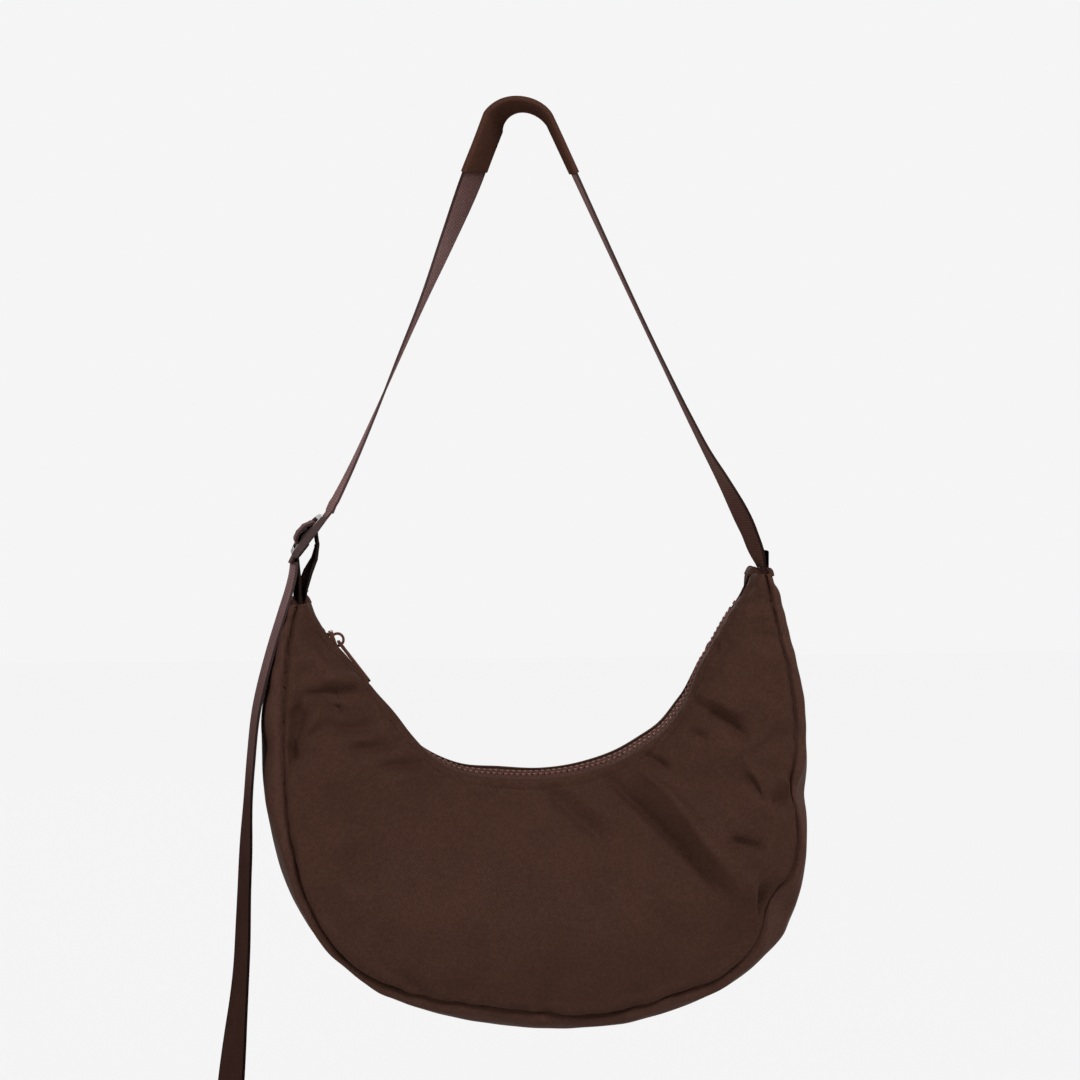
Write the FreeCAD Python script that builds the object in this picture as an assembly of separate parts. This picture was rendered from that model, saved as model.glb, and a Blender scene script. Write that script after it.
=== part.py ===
import FreeCAD
import Part
import math
import os

# Half moon shoulder bag hanging by its strap, in millimetres.
# +Z is up, the front faces -Y, and the origin is the underside of the strap at its top.

# Outline of the bag, seen from the front about the middle between its tips. The zipper's arc has its own
# centre, a little to the left of it and below it
zip_radius = 126.5
zip_shift = -4.2
zip_drop = 3.0
mouth_half_angle = 79.0
tip_angle = 85.0
tip_width = 15.0
bag_half_width = 169.0
tip_half_span = 151.0
widest_drop = 120.0
belly_height = 166.0
belly_power = 2.5
corner_swell = 7.5
corner_hollow = 9.0
side_hollow = 6.6

# Depth of the bag
gusset_width = 72.0
tip_depth = 41.0
gusset_crown = 15.5
tip_crown = 5.0
panel_swell = 18.0
fabric = 1.2
binding_width = 9.0
binding_edge = 0.5
mouth_half_width = 9.0
lip_width = 6.0

# How the bag hangs under the strap
hang_tilt = 3.3
mouth_centre_x = 5.8
mouth_centre_drop = 285.7

# Zipper
tape_under_lip = 2.0
tape_thickness = 0.8
tooth_pitch = 3.6
tooth_height = 3.0
tooth_head = 1.9
tooth_neck = 1.2
tooth_reach = 1.4
tooth_root = 0.8
tooth_grip = 1.0
tooth_chamfer = 0.4
tooth_throat = 0.12
jaw_gap = 0.1
stop_length = 2.4
stop_grip = 1.9
slider_length = 13.0
slider_width = 12.4
slider_plate = 1.7
slider_flange = 1.2
slider_edge = 0.5
post_length = 2.6
post_width = 1.6
bridge_radius = 4.6
bridge_wire = 1.6
bridge_width = 2.4
bridge_lift = 1.0
pull_length = 31.0
pull_width = 8.0
pull_thickness = 2.0
pull_bar = 1.6
pull_neck = 5.6
pull_taper = 3.0
pull_corner = 2.0
eyelet_width = 1.2
eyelet_length = 4.0
eyelet_edge = 3.0
pull_lift = 18.4

# Webbing, strap and buckle
webbing_width = 38.0
webbing = 1.4
shoulder_radius = 20.0
sleeve_wall = 0.8
sleeve_drop = 41.0
sleeve_slant = 7.9
bend_length = 44.0
lead_in = 5.0
twist_tip = 6.5
twist_right = -6.0
twist_top = 1.0
twist_left = 27.0
twist_start = 0.12
twist_run = 0.22
buckle_yaw = 5.0
buckle_angle = 51.6
buckle_rise = 40.6
buckle_offset = 5.6
buckle_length = 34.0
buckle_thickness = 3.8
centre_bar = 8.0
end_bar = 4.5
buckle_rail = 4.0
buckle_exit = 1.5
thread_step = 1.6
tail_drop = 408.0
tail_twist = -26.0
loop_bow = 6.6
loop_bow_drop = 2.6
loop_spread = 1.4
tab_height = 11.0
tab_width = 14.0
tab_tape = 1.1
tab_fold = 1.0
tab_stand = 1.2

# Inner pocket on the back panel
pocket_half_angle = 26.0
pocket_mouth = 0.42
pocket_floor = 0.86

# Clearances
seam_gap = 0.35
sewn_gap = 0.4
sliding_gap = 0.4
thread_gap = 0.35
lead_gap = 1.2
buckle_gap = 1.0
loop_seat = 0.8

FRONT = -1
BACK = 1
X = FreeCAD.Vector(1, 0, 0)
Y = FreeCAD.Vector(0, 1, 0)
Z = FreeCAD.Vector(0, 0, 1)
ORIGIN = FreeCAD.Vector(0, 0, 0)
zip_centre = FreeCAD.Vector(zip_shift, 0, -zip_drop)

bag_place = FreeCAD.Placement(
    FreeCAD.Vector(mouth_centre_x, 0, -mouth_centre_drop),
    FreeCAD.Rotation(Y, -hang_tilt),
)

nodes = {}


def polar(radius, angle, y):
    """Point of the bag at a radius and an angle from straight down, about the mouth centre."""
    turn = math.radians(angle)
    return FreeCAD.Vector(radius * math.sin(turn), y, -radius * math.cos(turn))


def half_width_at(z):
    """Half width of the bag's outline at a level below the mouth centre."""
    below = -widest_drop - z
    if below >= belly_height:
        return -1.0
    if below >= 0:
        return bag_half_width * (1 - (below / belly_height) ** belly_power) ** (1 / belly_power)
    tip_level = -tip_half_span / math.tan(math.radians(tip_angle))
    rise = -below / (widest_drop + tip_level)
    return bag_half_width - (bag_half_width - tip_half_span) * rise ** 2


# Swells and hollows of the filled bag, as (angle, spread, height) along its outline
sag_marks = [
    (30.0, 13.0, corner_swell),
    (-24.0, 19.0, -corner_hollow),
    (48.0, 11.0, -side_hollow),
]


def sag(angle):
    """How far the contents push the outline out, or let it fall in, in one direction."""
    return sum(height * math.exp(-(((angle - at) / spread) ** 2)) for at, spread, height in sag_marks)


def outer_radius(angle):
    """Distance from the mouth centre to the outline in one direction."""
    inside, outside = zip_radius, 2 * (widest_drop + belly_height)
    for _ in range(40):
        middle = (inside + outside) / 2
        p = polar(middle, angle, 0)
        if abs(p.x) < half_width_at(p.z):
            inside = middle
        else:
            outside = middle
    return inside + sag(angle)


def along(angle):
    """0 at the middle of the bag, 1 at a tip, with the change kept near the tip."""
    return (abs(angle) / tip_angle) ** 2.5


def past_mouth(angle):
    """0 along the zipper, rising smoothly to 1 at the tip."""
    return max(0.0, (abs(angle) - mouth_half_angle) / (tip_angle - mouth_half_angle)) ** 2


def half_depth(angle):
    return (gusset_width + (tip_depth - gusset_width) * along(angle)) / 2


def crown(angle):
    return gusset_crown + (tip_crown - gusset_crown) * along(angle)


def seam_radius(angle):
    return outer_radius(angle) - crown(angle)


tip_outer_radius = outer_radius(tip_angle)
tip_inner_radius = tip_outer_radius - tip_width
tip_middle_radius = (tip_inner_radius + tip_outer_radius) / 2


def zip_line(angle):
    """Distance from the mouth centre to the zipper's arc in one direction."""
    towards = polar(1, angle, 0).dot(zip_centre)
    return towards + math.sqrt(zip_radius ** 2 - zip_centre.Length ** 2 + towards ** 2)


def lip_radius(angle):
    """Outer face of the panel where it is turned in along the zipper tape."""
    mouth = zip_line(angle)
    edge = mouth + (tip_inner_radius - mouth) * past_mouth(angle)
    return edge - tape_thickness / 2 - sewn_gap - fabric


def panel_poles(angle):
    """Outer face of a panel in the radial plane, as (radius, half depth) poles, lip to seam."""
    lip, seam = lip_radius(angle), seam_radius(angle)
    inner = mouth_half_width + (tip_depth / 8 - mouth_half_width) * past_mouth(angle)
    depth = half_depth(angle)
    length = seam - lip
    full = length / (seam_radius(0) - lip_radius(0))
    turn = min(lip_width, (depth - inner) / 4)
    swell = panel_swell * full
    return [
        (lip, inner),
        (lip, inner + 0.7 * turn),
        (lip, inner + 2 * turn),
        (lip + 0.27 * length, depth + 0.4 * swell),
        (lip + 0.67 * length, depth + swell),
        (seam, depth),
    ]


def shifted(poles, distance):
    """Poles moved sideways, to the side of larger radius at the lip and smaller depth at the seam."""
    moved = []
    for i, (r, h) in enumerate(poles):
        before = poles[max(i - 1, 0)]
        after = poles[min(i + 1, len(poles) - 1)]
        dr, dh = after[0] - before[0], after[1] - before[1]
        size = math.hypot(dr, dh)
        moved.append((r + dh / size * distance, h - dr / size * distance))
    return moved


def curve(poles, angle, side):
    bezier = Part.BezierCurve()
    bezier.setPoles([polar(r, angle, side * h) for r, h in poles])
    return bezier


def band_wire(outer, inner, angle, side):
    """Closed section of a sheet between two rows of poles in one radial plane."""
    a, b = curve(outer, angle, side), curve(inner, angle, side)
    edges = [
        a.toShape(),
        Part.makeLine(a.EndPoint, b.EndPoint),
        b.toShape(),
        Part.makeLine(b.StartPoint, a.StartPoint),
    ]
    return Part.Wire(Part.sortEdges(edges)[0])


def polygon_wire(points):
    return Part.makePolygon(points + points[:1])


def solid_loft(wires):
    return Part.makeLoft(wires, True, False)


def angles_between(first, last, count):
    return [first + (last - first) * i / (count - 1) for i in range(count)]


side_angles = [14, 28, 41, 53, 63, 71, mouth_half_angle, (mouth_half_angle + tip_angle) / 2, tip_angle]
bag_angles = [-a for a in reversed(side_angles)] + [0] + side_angles


# Front and back panels, each one loft of radial sections from tip to tip
for name, side in (("front_panel", FRONT), ("back_panel", BACK)):
    wires = []
    for angle in bag_angles:
        outer = panel_poles(angle)
        wires.append(band_wire(outer, shifted(outer, fabric), angle, side))
    nodes[name] = solid_loft(wires)


def gusset_poles(angle, inset):
    """Gusset from front seam over the crown to the back seam, moved in by the inset."""
    start = seam_radius(angle) + seam_gap
    rise = crown(angle) - seam_gap
    depth = half_depth(angle) - inset
    shoulder = start + 0.62 * rise - 0.5 * inset
    top = start + 1.29 * rise - 1.35 * inset
    return [
        (start, -depth),
        (shoulder, -depth),
        (top, -0.5 * depth),
        (top, 0.5 * depth),
        (shoulder, depth),
        (start, depth),
    ]


nodes["gusset"] = solid_loft(
    [band_wire(gusset_poles(a, 0), gusset_poles(a, fabric), a, BACK) for a in bag_angles]
)


def binding_wire(angle, side):
    """Folded tape sewn over the raw seam edges inside the bag."""
    inner = shifted(panel_poles(angle), fabric + sewn_gap)
    (r0, h0), (r1, h1) = inner[-2], inner[-1]
    size = math.hypot(r1 - r0, h1 - h0)
    along_r, along_h = (r1 - r0) / size, (h1 - h0) / size
    width = binding_width * crown(angle) / gusset_crown
    lean = 0.09 * width
    corners = []
    edge = binding_edge
    for back, away in ((edge, 0), (width, lean), (width, lean + fabric), (edge, fabric)):
        r = r1 - along_r * back + along_h * away
        h = h1 - along_h * back - along_r * away
        corners.append(polar(r, angle, side * h))
    return polygon_wire(corners)


binding_angles = [a for a in bag_angles if abs(a) <= mouth_half_angle]
nodes["front_seam_binding"] = solid_loft([binding_wire(a, FRONT) for a in binding_angles])
nodes["back_seam_binding"] = solid_loft([binding_wire(a, BACK) for a in binding_angles])


def pocket_wire(angle):
    """Slip pocket lying against the inside of the back panel."""
    face = shifted(panel_poles(angle), fabric + sewn_gap)
    patch = curve(face, angle, BACK)
    patch.segment(pocket_mouth, pocket_floor)
    outer = []
    for pole in patch.getPoles():
        radius = math.hypot(pole.x, pole.z)
        outer.append((radius, pole.y))
    return band_wire(outer, shifted(outer, fabric), angle, BACK)


nodes["inner_pocket"] = solid_loft(
    [pocket_wire(a) for a in angles_between(-pocket_half_angle, pocket_half_angle, 7)]
)


def tip_cap(side):
    """Folded cap closing one tip, where panels, gusset and webbing are sewn together."""
    wires = []
    outline = [(0.4, -1), (0.8, -0.9), (1, -0.4), (1, 0.4), (0.8, 0.9), (0.4, 1), (-1, 0.2), (-1, -0.2)]
    start = tip_angle + math.degrees(sewn_gap / tip_middle_radius)
    for step, shrink in ((0, 1.0), (0.5, 1.0), (1.1, 0.8)):
        half_r = tip_width / 2 * shrink
        half_y = tip_depth / 2 * shrink
        corners = []
        for r, y in outline:
            corners.append(polar(tip_middle_radius + r * half_r, side * (start + step), y * half_y))
        wires.append(polygon_wire(corners))
    return Part.makeLoft(wires, True, True)


nodes["tip_cap_left"] = tip_cap(-1)
nodes["tip_cap_right"] = tip_cap(1)


def swept(corners, first, last):
    """Section of (radius, y) corners in a radial plane, swept around the mouth arc."""
    face = Part.Face(polygon_wire([polar(r, first, y) for r, y in corners]))
    return face.revolve(ORIGIN, -Y, last - first)


def box_corners(r0, r1, y0, y1):
    return [(r0, y0), (r1, y0), (r1, y1), (r0, y1)]


def arc_angle(length):
    return math.degrees(length / zip_radius)


# Zipper tapes: flat strips that lie along the mouth arc
tooth_jaw = tooth_reach + tooth_root
tape_inner = zip_radius - tape_thickness / 2
tape_outer = zip_radius + tape_thickness / 2
tape_edge = mouth_half_width + tape_under_lip
for name, side in (("zipper_tape_front", FRONT), ("zipper_tape_back", BACK)):
    corners = box_corners(tape_inner, tape_outer, side * tooth_jaw, side * tape_edge)
    nodes[name] = swept(corners, -mouth_half_angle, mouth_half_angle)


# Zipper teeth: each one grips its tape edge with two jaws and reaches across with a wide head
slider_half_angle = arc_angle(slider_length / 2)
slider_angle = -(mouth_half_angle - arc_angle(stop_length + 3 * sliding_gap) - slider_half_angle)
post_start = slider_angle - slider_half_angle + arc_angle(sliding_gap)
chain_first = post_start + arc_angle(post_length + 2 * sliding_gap + tooth_head / 2)
chain_last = mouth_half_angle - arc_angle(stop_length + 3 * sliding_gap + tooth_head)
tooth_count = int((chain_last - chain_first) / arc_angle(tooth_pitch))


def tooth(side):
    """One tooth at the lowest point of the mouth arc, head across the middle line."""
    neck, head = tooth_neck / 2, tooth_head / 2
    jaw_end = tooth_jaw + tooth_grip
    shoulder = tooth_throat + (tooth_head - tooth_neck) / 2
    half_plan = [
        (head, -jaw_end),
        (head, -tooth_jaw + tooth_chamfer),
        (neck, -tooth_jaw + 2 * tooth_chamfer),
        (neck, tooth_throat),
        (head, shoulder),
        (head, tooth_reach - tooth_chamfer),
        (neck, tooth_reach),
    ]
    plan = half_plan + [(-x, y) for x, y in reversed(half_plan)]
    low = -zip_radius - tooth_height / 2
    face = Part.Face(polygon_wire([FreeCAD.Vector(x, -side * y, low) for x, y in plan]))
    body = face.extrude(Z * tooth_height)
    slot_height = tape_thickness + 2 * jaw_gap
    slot = Part.makeBox(2 * tooth_head, jaw_end, slot_height)
    base_y = tooth_jaw - jaw_gap if side == BACK else jaw_gap - tooth_jaw - jaw_end
    slot.translate(FreeCAD.Vector(-tooth_head, base_y, -zip_radius - slot_height / 2))
    return body.cut(slot)


for name, side, start in (
    ("zipper_teeth_front", FRONT, chain_first),
    ("zipper_teeth_back", BACK, chain_first + arc_angle(tooth_pitch / 2)),
):
    row = []
    for i in range(tooth_count):
        copy = tooth(side)
        copy.rotate(ORIGIN, -Y, start + i * arc_angle(tooth_pitch))
        row.append(copy)
    nodes[name] = Part.makeCompound(row)

# Stops: one clip on each tape before the slider, one block across the far end of the chain
stop_top = zip_radius - tooth_height / 2
stop_low = zip_radius + tooth_height / 2


def stop_corners(side):
    """Clip gripping one tape edge from above and below."""
    near = side * (tooth_jaw - tooth_root)
    grip = side * (tooth_jaw - 2 * jaw_gap)
    far = side * (tooth_jaw + stop_grip)
    return [
        (stop_top, near),
        (stop_low, near),
        (stop_low, far),
        (tape_outer + 2 * jaw_gap, far),
        (tape_outer + 2 * jaw_gap, grip),
        (tape_inner - 2 * jaw_gap, grip),
        (tape_inner - 2 * jaw_gap, far),
        (stop_top, far),
    ]


stop_first = -mouth_half_angle + arc_angle(sliding_gap)
stop_last = stop_first + arc_angle(stop_length)
nodes["zipper_top_stops"] = Part.makeCompound(
    [swept(stop_corners(side), stop_first, stop_last) for side in (FRONT, BACK)]
)
block = swept(
    box_corners(stop_top, stop_low, sewn_gap - tooth_jaw, tooth_jaw - sewn_gap),
    mouth_half_angle - arc_angle(sliding_gap + stop_length),
    mouth_half_angle - arc_angle(sliding_gap),
)
nodes["zipper_bottom_stop"] = block

# Slider: two plates with side flanges around the chain, joined by a post, with a bridge on top
plate_in = zip_radius - tooth_height / 2 - sliding_gap
plate_out = zip_radius + tooth_height / 2 + sliding_gap
half_slider = slider_width / 2
slider_first = slider_angle - slider_half_angle
slider_last = slider_angle + slider_half_angle
top_level = plate_in - slider_plate
flange_end = tape_inner - sliding_gap
half_upper = [
    (top_level, half_slider - slider_edge),
    (top_level + slider_edge, half_slider),
    (flange_end, half_slider),
    (flange_end, half_slider - slider_flange),
    (plate_in, half_slider - slider_flange),
]
upper = half_upper + [(r, -y) for r, y in reversed(half_upper)]
lower = [(2 * zip_radius - r, y) for r, y in upper]
post = swept(
    box_corners(plate_in - slider_edge, plate_out + slider_edge, -post_width / 2, post_width / 2),
    post_start,
    post_start + arc_angle(post_length),
)


def on_slider(along_zip, height, y):
    """Point at a distance along the zipper and a height over the slider's top plate."""
    turn = math.radians(slider_angle)
    base = polar(top_level - height, slider_angle, y)
    return base + FreeCAD.Vector(math.cos(turn), 0, math.sin(turn)) * along_zip


ring = Part.makeCylinder(bridge_radius, bridge_width, on_slider(0, bridge_lift, -bridge_width / 2), Y)
hollow = Part.makeCylinder(
    bridge_radius - bridge_wire, 2 * bridge_width, on_slider(0, bridge_lift, -bridge_width), Y
)
clear_below = swept(
    box_corners(plate_in - sliding_gap, plate_in + 3 * bridge_radius, -bridge_width, bridge_width),
    slider_first - slider_half_angle,
    slider_last + slider_half_angle,
)
bridge = ring.cut(hollow).cut(clear_below)
nodes["zipper_slider"] = (
    swept(upper, slider_first, slider_last)
    .fuse(swept(lower, slider_first, slider_last))
    .fuse(post)
    .fuse(bridge)
    .removeSplitter()
)

# Pull: flat tab whose cross bar hangs inside the bridge
bar_height = pull_thickness / 2 + sliding_gap
bar_room = bridge_radius - bridge_wire - sliding_gap - pull_bar / 2
bar_along = 0.9 * math.sqrt(bar_room ** 2 - (bar_height - bridge_lift) ** 2)
window_half = bridge_width / 2 + sliding_gap
window_end = 2 * bridge_radius - bridge_wire
half_pull, half_neck = pull_width / 2, pull_neck / 2
half_outline = [
    (0, half_neck),
    (window_end, half_neck),
    (window_end + pull_taper, half_pull),
    (pull_length - pull_corner, half_pull),
    (pull_length, half_pull - pull_corner),
]
tab_outline = half_outline + [(x, -y) for x, y in reversed(half_outline)]
half_tab = pull_thickness / 2
plate = Part.Face(polygon_wire([FreeCAD.Vector(x, y, -half_tab) for x, y in tab_outline]))
plate = plate.extrude(Z * pull_thickness)
window = Part.makeBox(window_end, 2 * window_half, 3 * pull_thickness)
window.translate(FreeCAD.Vector(0, -window_half, -1.5 * pull_thickness))
eyelet = Part.makeBox(eyelet_width, eyelet_length, 3 * pull_thickness)
eyelet_start = pull_length - eyelet_edge - eyelet_width
eyelet.translate(FreeCAD.Vector(eyelet_start, -eyelet_length / 2, -1.5 * pull_thickness))
bar = Part.makeCylinder(pull_bar / 2, pull_neck, FreeCAD.Vector(0, -half_neck, 0), Y)
end_round = Part.makeCylinder(half_tab, pull_neck, FreeCAD.Vector(0, -half_neck, 0), Y)
round_gap = Part.makeBox(2 * pull_bar, 2 * window_half, 2 * pull_bar)
round_gap.translate(FreeCAD.Vector(-pull_bar, -window_half, -pull_bar))
pull = plate.cut(window).cut(eyelet).fuse(end_round.cut(round_gap)).fuse(bar).removeSplitter()
pull.rotate(ORIGIN, -Y, slider_angle + pull_lift)
pull.translate(on_slider(bar_along, bar_height, 0))
nodes["zipper_pull"] = pull

# The zipper is built about its own centre. Set it in the mouth, then hang the whole bag under the strap
for name in nodes:
    if name.startswith("zipper_"):
        nodes[name].translate(zip_centre)
for name in nodes:
    nodes[name].Placement = bag_place.multiply(nodes[name].Placement)

tip_left = bag_place.multVec(polar(tip_middle_radius, -tip_angle - 1.4, 0))
tip_right = bag_place.multVec(polar(tip_middle_radius, tip_angle + 1.4, 0))


def ribbon(stations, width, thickness):
    """Flat webbing lofted through stations of (point, direction, direction of the near edge)."""
    wires = []
    for point, direction, near in stations:
        t = FreeCAD.Vector(direction)
        t.normalize()
        w = near - t * near.dot(t)
        w.normalize()
        n = t.cross(w)
        corners = []
        for i, j in ((1, 1), (1, -1), (-1, -1), (-1, 1)):
            corners.append(point + w * (i * width / 2) + n * (j * thickness / 2))
        wires.append(polygon_wire(corners))
    return solid_loft(wires)


def strip_face(points, bend, thickness, place):
    """Face of a strip that follows a bent line in a plane, with rounded bends."""
    def unit(a, b):
        size = math.hypot(b[0] - a[0], b[1] - a[1])
        return (b[0] - a[0]) / size, (b[1] - a[1]) / size

    pieces = []
    start = points[0]
    for i in range(1, len(points) - 1):
        d0, d1 = unit(points[i - 1], points[i]), unit(points[i], points[i + 1])
        cross = d0[0] * d1[1] - d0[1] * d1[0]
        angle = math.atan2(cross, d0[0] * d1[0] + d0[1] * d1[1])
        cut = bend * math.tan(abs(angle) / 2)
        a = (points[i][0] - d0[0] * cut, points[i][1] - d0[1] * cut)
        b = (points[i][0] + d1[0] * cut, points[i][1] + d1[1] * cut)
        turn = 1 if cross > 0 else -1
        centre = (a[0] - d0[1] * turn * bend, a[1] + d0[0] * turn * bend)
        pieces.append(("line", start, a))
        pieces.append(("arc", a, b, centre, turn))
        start = b
    pieces.append(("line", start, points[-1]))

    edges = []
    ends = {}
    for side in (1, -1):
        offset = side * thickness / 2
        last = None
        for piece in pieces:
            if piece[0] == "line":
                d = unit(piece[1], piece[2])
                a, b = [(p[0] - d[1] * offset, p[1] + d[0] * offset) for p in piece[1:3]]
                edges.append(Part.makeLine(place(*a), place(*b)))
                ends.setdefault(("start", side), a)
            else:
                a, b, c, turn = piece[1:]
                scale = (bend - turn * offset) / bend
                a, b = [(c[0] + (p[0] - c[0]) * scale, c[1] + (p[1] - c[1]) * scale) for p in (a, b)]
                ma, mb = (a[0] + b[0]) / 2 - c[0], (a[1] + b[1]) / 2 - c[1]
                grow = bend * scale / math.hypot(ma, mb)
                m = (c[0] + ma * grow, c[1] + mb * grow)
                edges.append(Part.Arc(place(*a), place(*m), place(*b)).toShape())
            last = b
        ends[("end", side)] = last
    for end in ("start", "end"):
        edges.append(Part.makeLine(place(*ends[(end, 1)]), place(*ends[(end, -1)])))
    return Part.Face(Part.Wire(Part.sortEdges(edges)[0]))


# Buckle frame: the bar direction is turned a little about the vertical at the left tip
yaw = FreeCAD.Rotation(Z, buckle_yaw)
bar_direction = yaw.multVec(Y)
level = yaw.multVec(X)
lean = math.radians(buckle_angle)
buckle_u = (math.cos(lean), math.sin(lean))
buckle_n = (-math.sin(lean), math.cos(lean))


def by_tip(h, z, along_bar=0.0):
    """Point at a level distance and a height from the left tip."""
    return tip_left + level * h + Z * z + bar_direction * along_bar


def in_buckle(u, n, along_bar=0.0):
    """Point along the buckle's length and above its face, from its middle."""
    h = buckle_offset + u * buckle_u[0] + n * buckle_n[0]
    z = buckle_rise + u * buckle_u[1] + n * buckle_n[1]
    return by_tip(h, z, along_bar)


def buckle_box(u0, u1, v_half):
    corners = [(u0, -v_half), (u1, -v_half), (u1, v_half), (u0, v_half)]
    wire = polygon_wire([in_buckle(u, -buckle_thickness / 2, v) for u, v in corners])
    lift = in_buckle(0, buckle_thickness) - in_buckle(0, 0)
    return Part.Face(wire).extrude(lift)


half_buckle = buckle_length / 2
inner_half = webbing_width / 2 + buckle_gap
slot_near = centre_bar / 2
slot_far = half_buckle - end_bar
buckle = buckle_box(-half_buckle, half_buckle, inner_half + buckle_rail)
buckle = buckle.cut(buckle_box(slot_near, slot_far, inner_half))
buckle = buckle.cut(buckle_box(-slot_far, -slot_near, inner_half))
nodes["strap_buckle"] = buckle.makeFillet(buckle_thickness * 0.3, buckle.Edges)

# Levels at which the webbing lies under and over the buckle bars
under = -(buckle_thickness / 2 + thread_gap + webbing / 2)
over_bar = buckle_thickness / 2 + thread_gap + webbing / 2
over_loop = over_bar + webbing + thread_gap
loop_u = centre_bar / 2 + thread_gap + webbing / 2
thread_u = loop_u + webbing + thread_gap

# Strap line: tangent from the right tip and from the buckle to the round over the shoulder
arch_z = sleeve_wall + thread_gap + webbing / 2 - shoulder_radius
arch_centre = FreeCAD.Vector(0, 0, arch_z)


def tangent_angle(point, side):
    """Angle on the shoulder round where a straight run from a point touches it."""
    reach = point - arch_centre
    towards = math.degrees(math.atan2(reach.z, reach.x))
    open_angle = math.degrees(math.acos(shoulder_radius / math.hypot(reach.x, reach.z)))
    return towards + side * open_angle


def on_arch(angle):
    turn = math.radians(angle)
    return arch_centre + FreeCAD.Vector(math.cos(turn), 0, math.sin(turn)) * shoulder_radius


def near_edge(outward, twist):
    """Direction of the webbing's front edge, turned outwards by a twist."""
    turn = math.radians(twist)
    return outward * math.sin(turn) - Y * math.cos(turn)


exit_u = half_buckle + buckle_exit
strap_foot = in_buckle(exit_u, under)
left_touch = tangent_angle(strap_foot, -1)
left_point = on_arch(left_touch)
left_run = strap_foot - left_point
lead_reach = strap_foot - left_run * (lead_in / left_run.Length) - tip_left
lead_h, lead_z = lead_reach.dot(level), lead_reach.z
lead_point = by_tip(lead_h, lead_z)
foot_reach = strap_foot - tip_left
foot_h, foot_z = foot_reach.dot(level), foot_reach.z


def buckle_to_tip(u, n):
    p = in_buckle(u, n) - tip_left
    return p.dot(level), p.z


thread_points = [
    (lead_h, lead_z),
    (foot_h, foot_z),
    buckle_to_tip(thread_u + thread_step, under),
    buckle_to_tip(thread_u, over_loop),
    buckle_to_tip(-thread_u, over_loop),
    buckle_to_tip(-thread_u - thread_step, under),
    buckle_to_tip(-exit_u, under),
]


def web_edge(h, z):
    return by_tip(h, z, -webbing_width / 2)


threaded = strip_face(thread_points, webbing, webbing, web_edge).extrude(bar_direction * webbing_width)

right_base = tip_right + Z * (webbing / 2)
right_touch = tangent_angle(right_base, 1)
right_point = on_arch(right_touch)
right_run = right_point - right_base
right_out = FreeCAD.Vector(right_run.z, 0, -right_run.x)
right_out.normalize()
left_out = FreeCAD.Vector(left_run.z, 0, -left_run.x)
left_out.normalize()


def right_station(share):
    """Station on the right run: the webbing turns from its sewn foot to its free lay."""
    settle = min(1.0, max(0.0, (share - twist_start) / twist_run))
    settle = settle * settle * (3 - 2 * settle)
    twist = twist_tip + (twist_right - twist_tip) * settle
    return right_base + right_run * share, right_run, near_edge(right_out, twist)


def arch_station(angle):
    share = (angle - right_touch) / (left_touch % 360 - right_touch)
    if share < 0.5:
        twist = twist_right + (twist_top - twist_right) * share * 2
    else:
        twist = twist_top + (twist_left - twist_top) * (share - 0.5) * 2
    turn = math.radians(angle)
    outward = FreeCAD.Vector(math.cos(turn), 0, math.sin(turn))
    return on_arch(angle), FreeCAD.Vector(-math.sin(turn), 0, math.cos(turn)), near_edge(outward, twist)


def left_station(share):
    """Station on the left run, turning from its lay at the shoulder to the buckle's bars."""
    lay = near_edge(left_out, twist_left * (1 - share) ** 2)
    flat = 1 - (1 - share) ** 2
    return left_point + left_run * share, left_run, lay * (1 - flat) - bar_direction * flat


# The webbing bends between bag and strap in one stretch on each side, at the same level
lead_share = 1 - lead_in / left_run.Length
left_bend_low = lead_share - lead_gap / left_run.Length
left_bend_high = left_bend_low - bend_length / left_run.Length
left_end = left_bend_high - seam_gap / left_run.Length
bend_level = left_point.z + left_run.z * (left_bend_low + left_bend_high) / 2
right_middle = (bend_level - right_base.z) / right_run.z
right_bend_low = right_middle - bend_length / 2 / right_run.Length
right_bend_high = right_middle + bend_length / 2 / right_run.Length
right_foot_end = right_bend_low - seam_gap / right_run.Length
right_end = right_bend_high + seam_gap / right_run.Length


def run_of(maker, first, last, count):
    """One stretch of webbing along a straight run."""
    return [maker(share) for share in angles_between(first, last, count)]


arch_angles = angles_between(right_touch, left_touch % 360, 9)
arch_stations = [arch_station(a) for a in arch_angles]
right_stations = run_of(right_station, right_end, 1.0, 7)
left_stations = [arch_stations[-1]] + run_of(left_station, 0, left_end, 6)[1:]


def strap_shape(width, thickness):
    """The strap above both bends as one solid with a given section."""
    runs = [ribbon(group, width, thickness) for group in (right_stations, left_stations)]
    return ribbon(arch_stations, width, thickness).fuse(runs).removeSplitter()


nodes["strap_webbing"] = strap_shape(webbing_width, webbing)
for name, maker, first, last in (
    ("strap_bend_left", left_station, left_bend_high, left_bend_low),
    ("strap_bend_right", right_station, right_bend_low, right_bend_high),
    ("strap_foot", right_station, 0, right_foot_end),
):
    nodes[name] = ribbon(run_of(maker, first, last, 4), webbing_width, webbing)

# Threading: the strap goes under, over and under the bars and comes out as the tail
nodes["strap_threading"] = threaded

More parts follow.
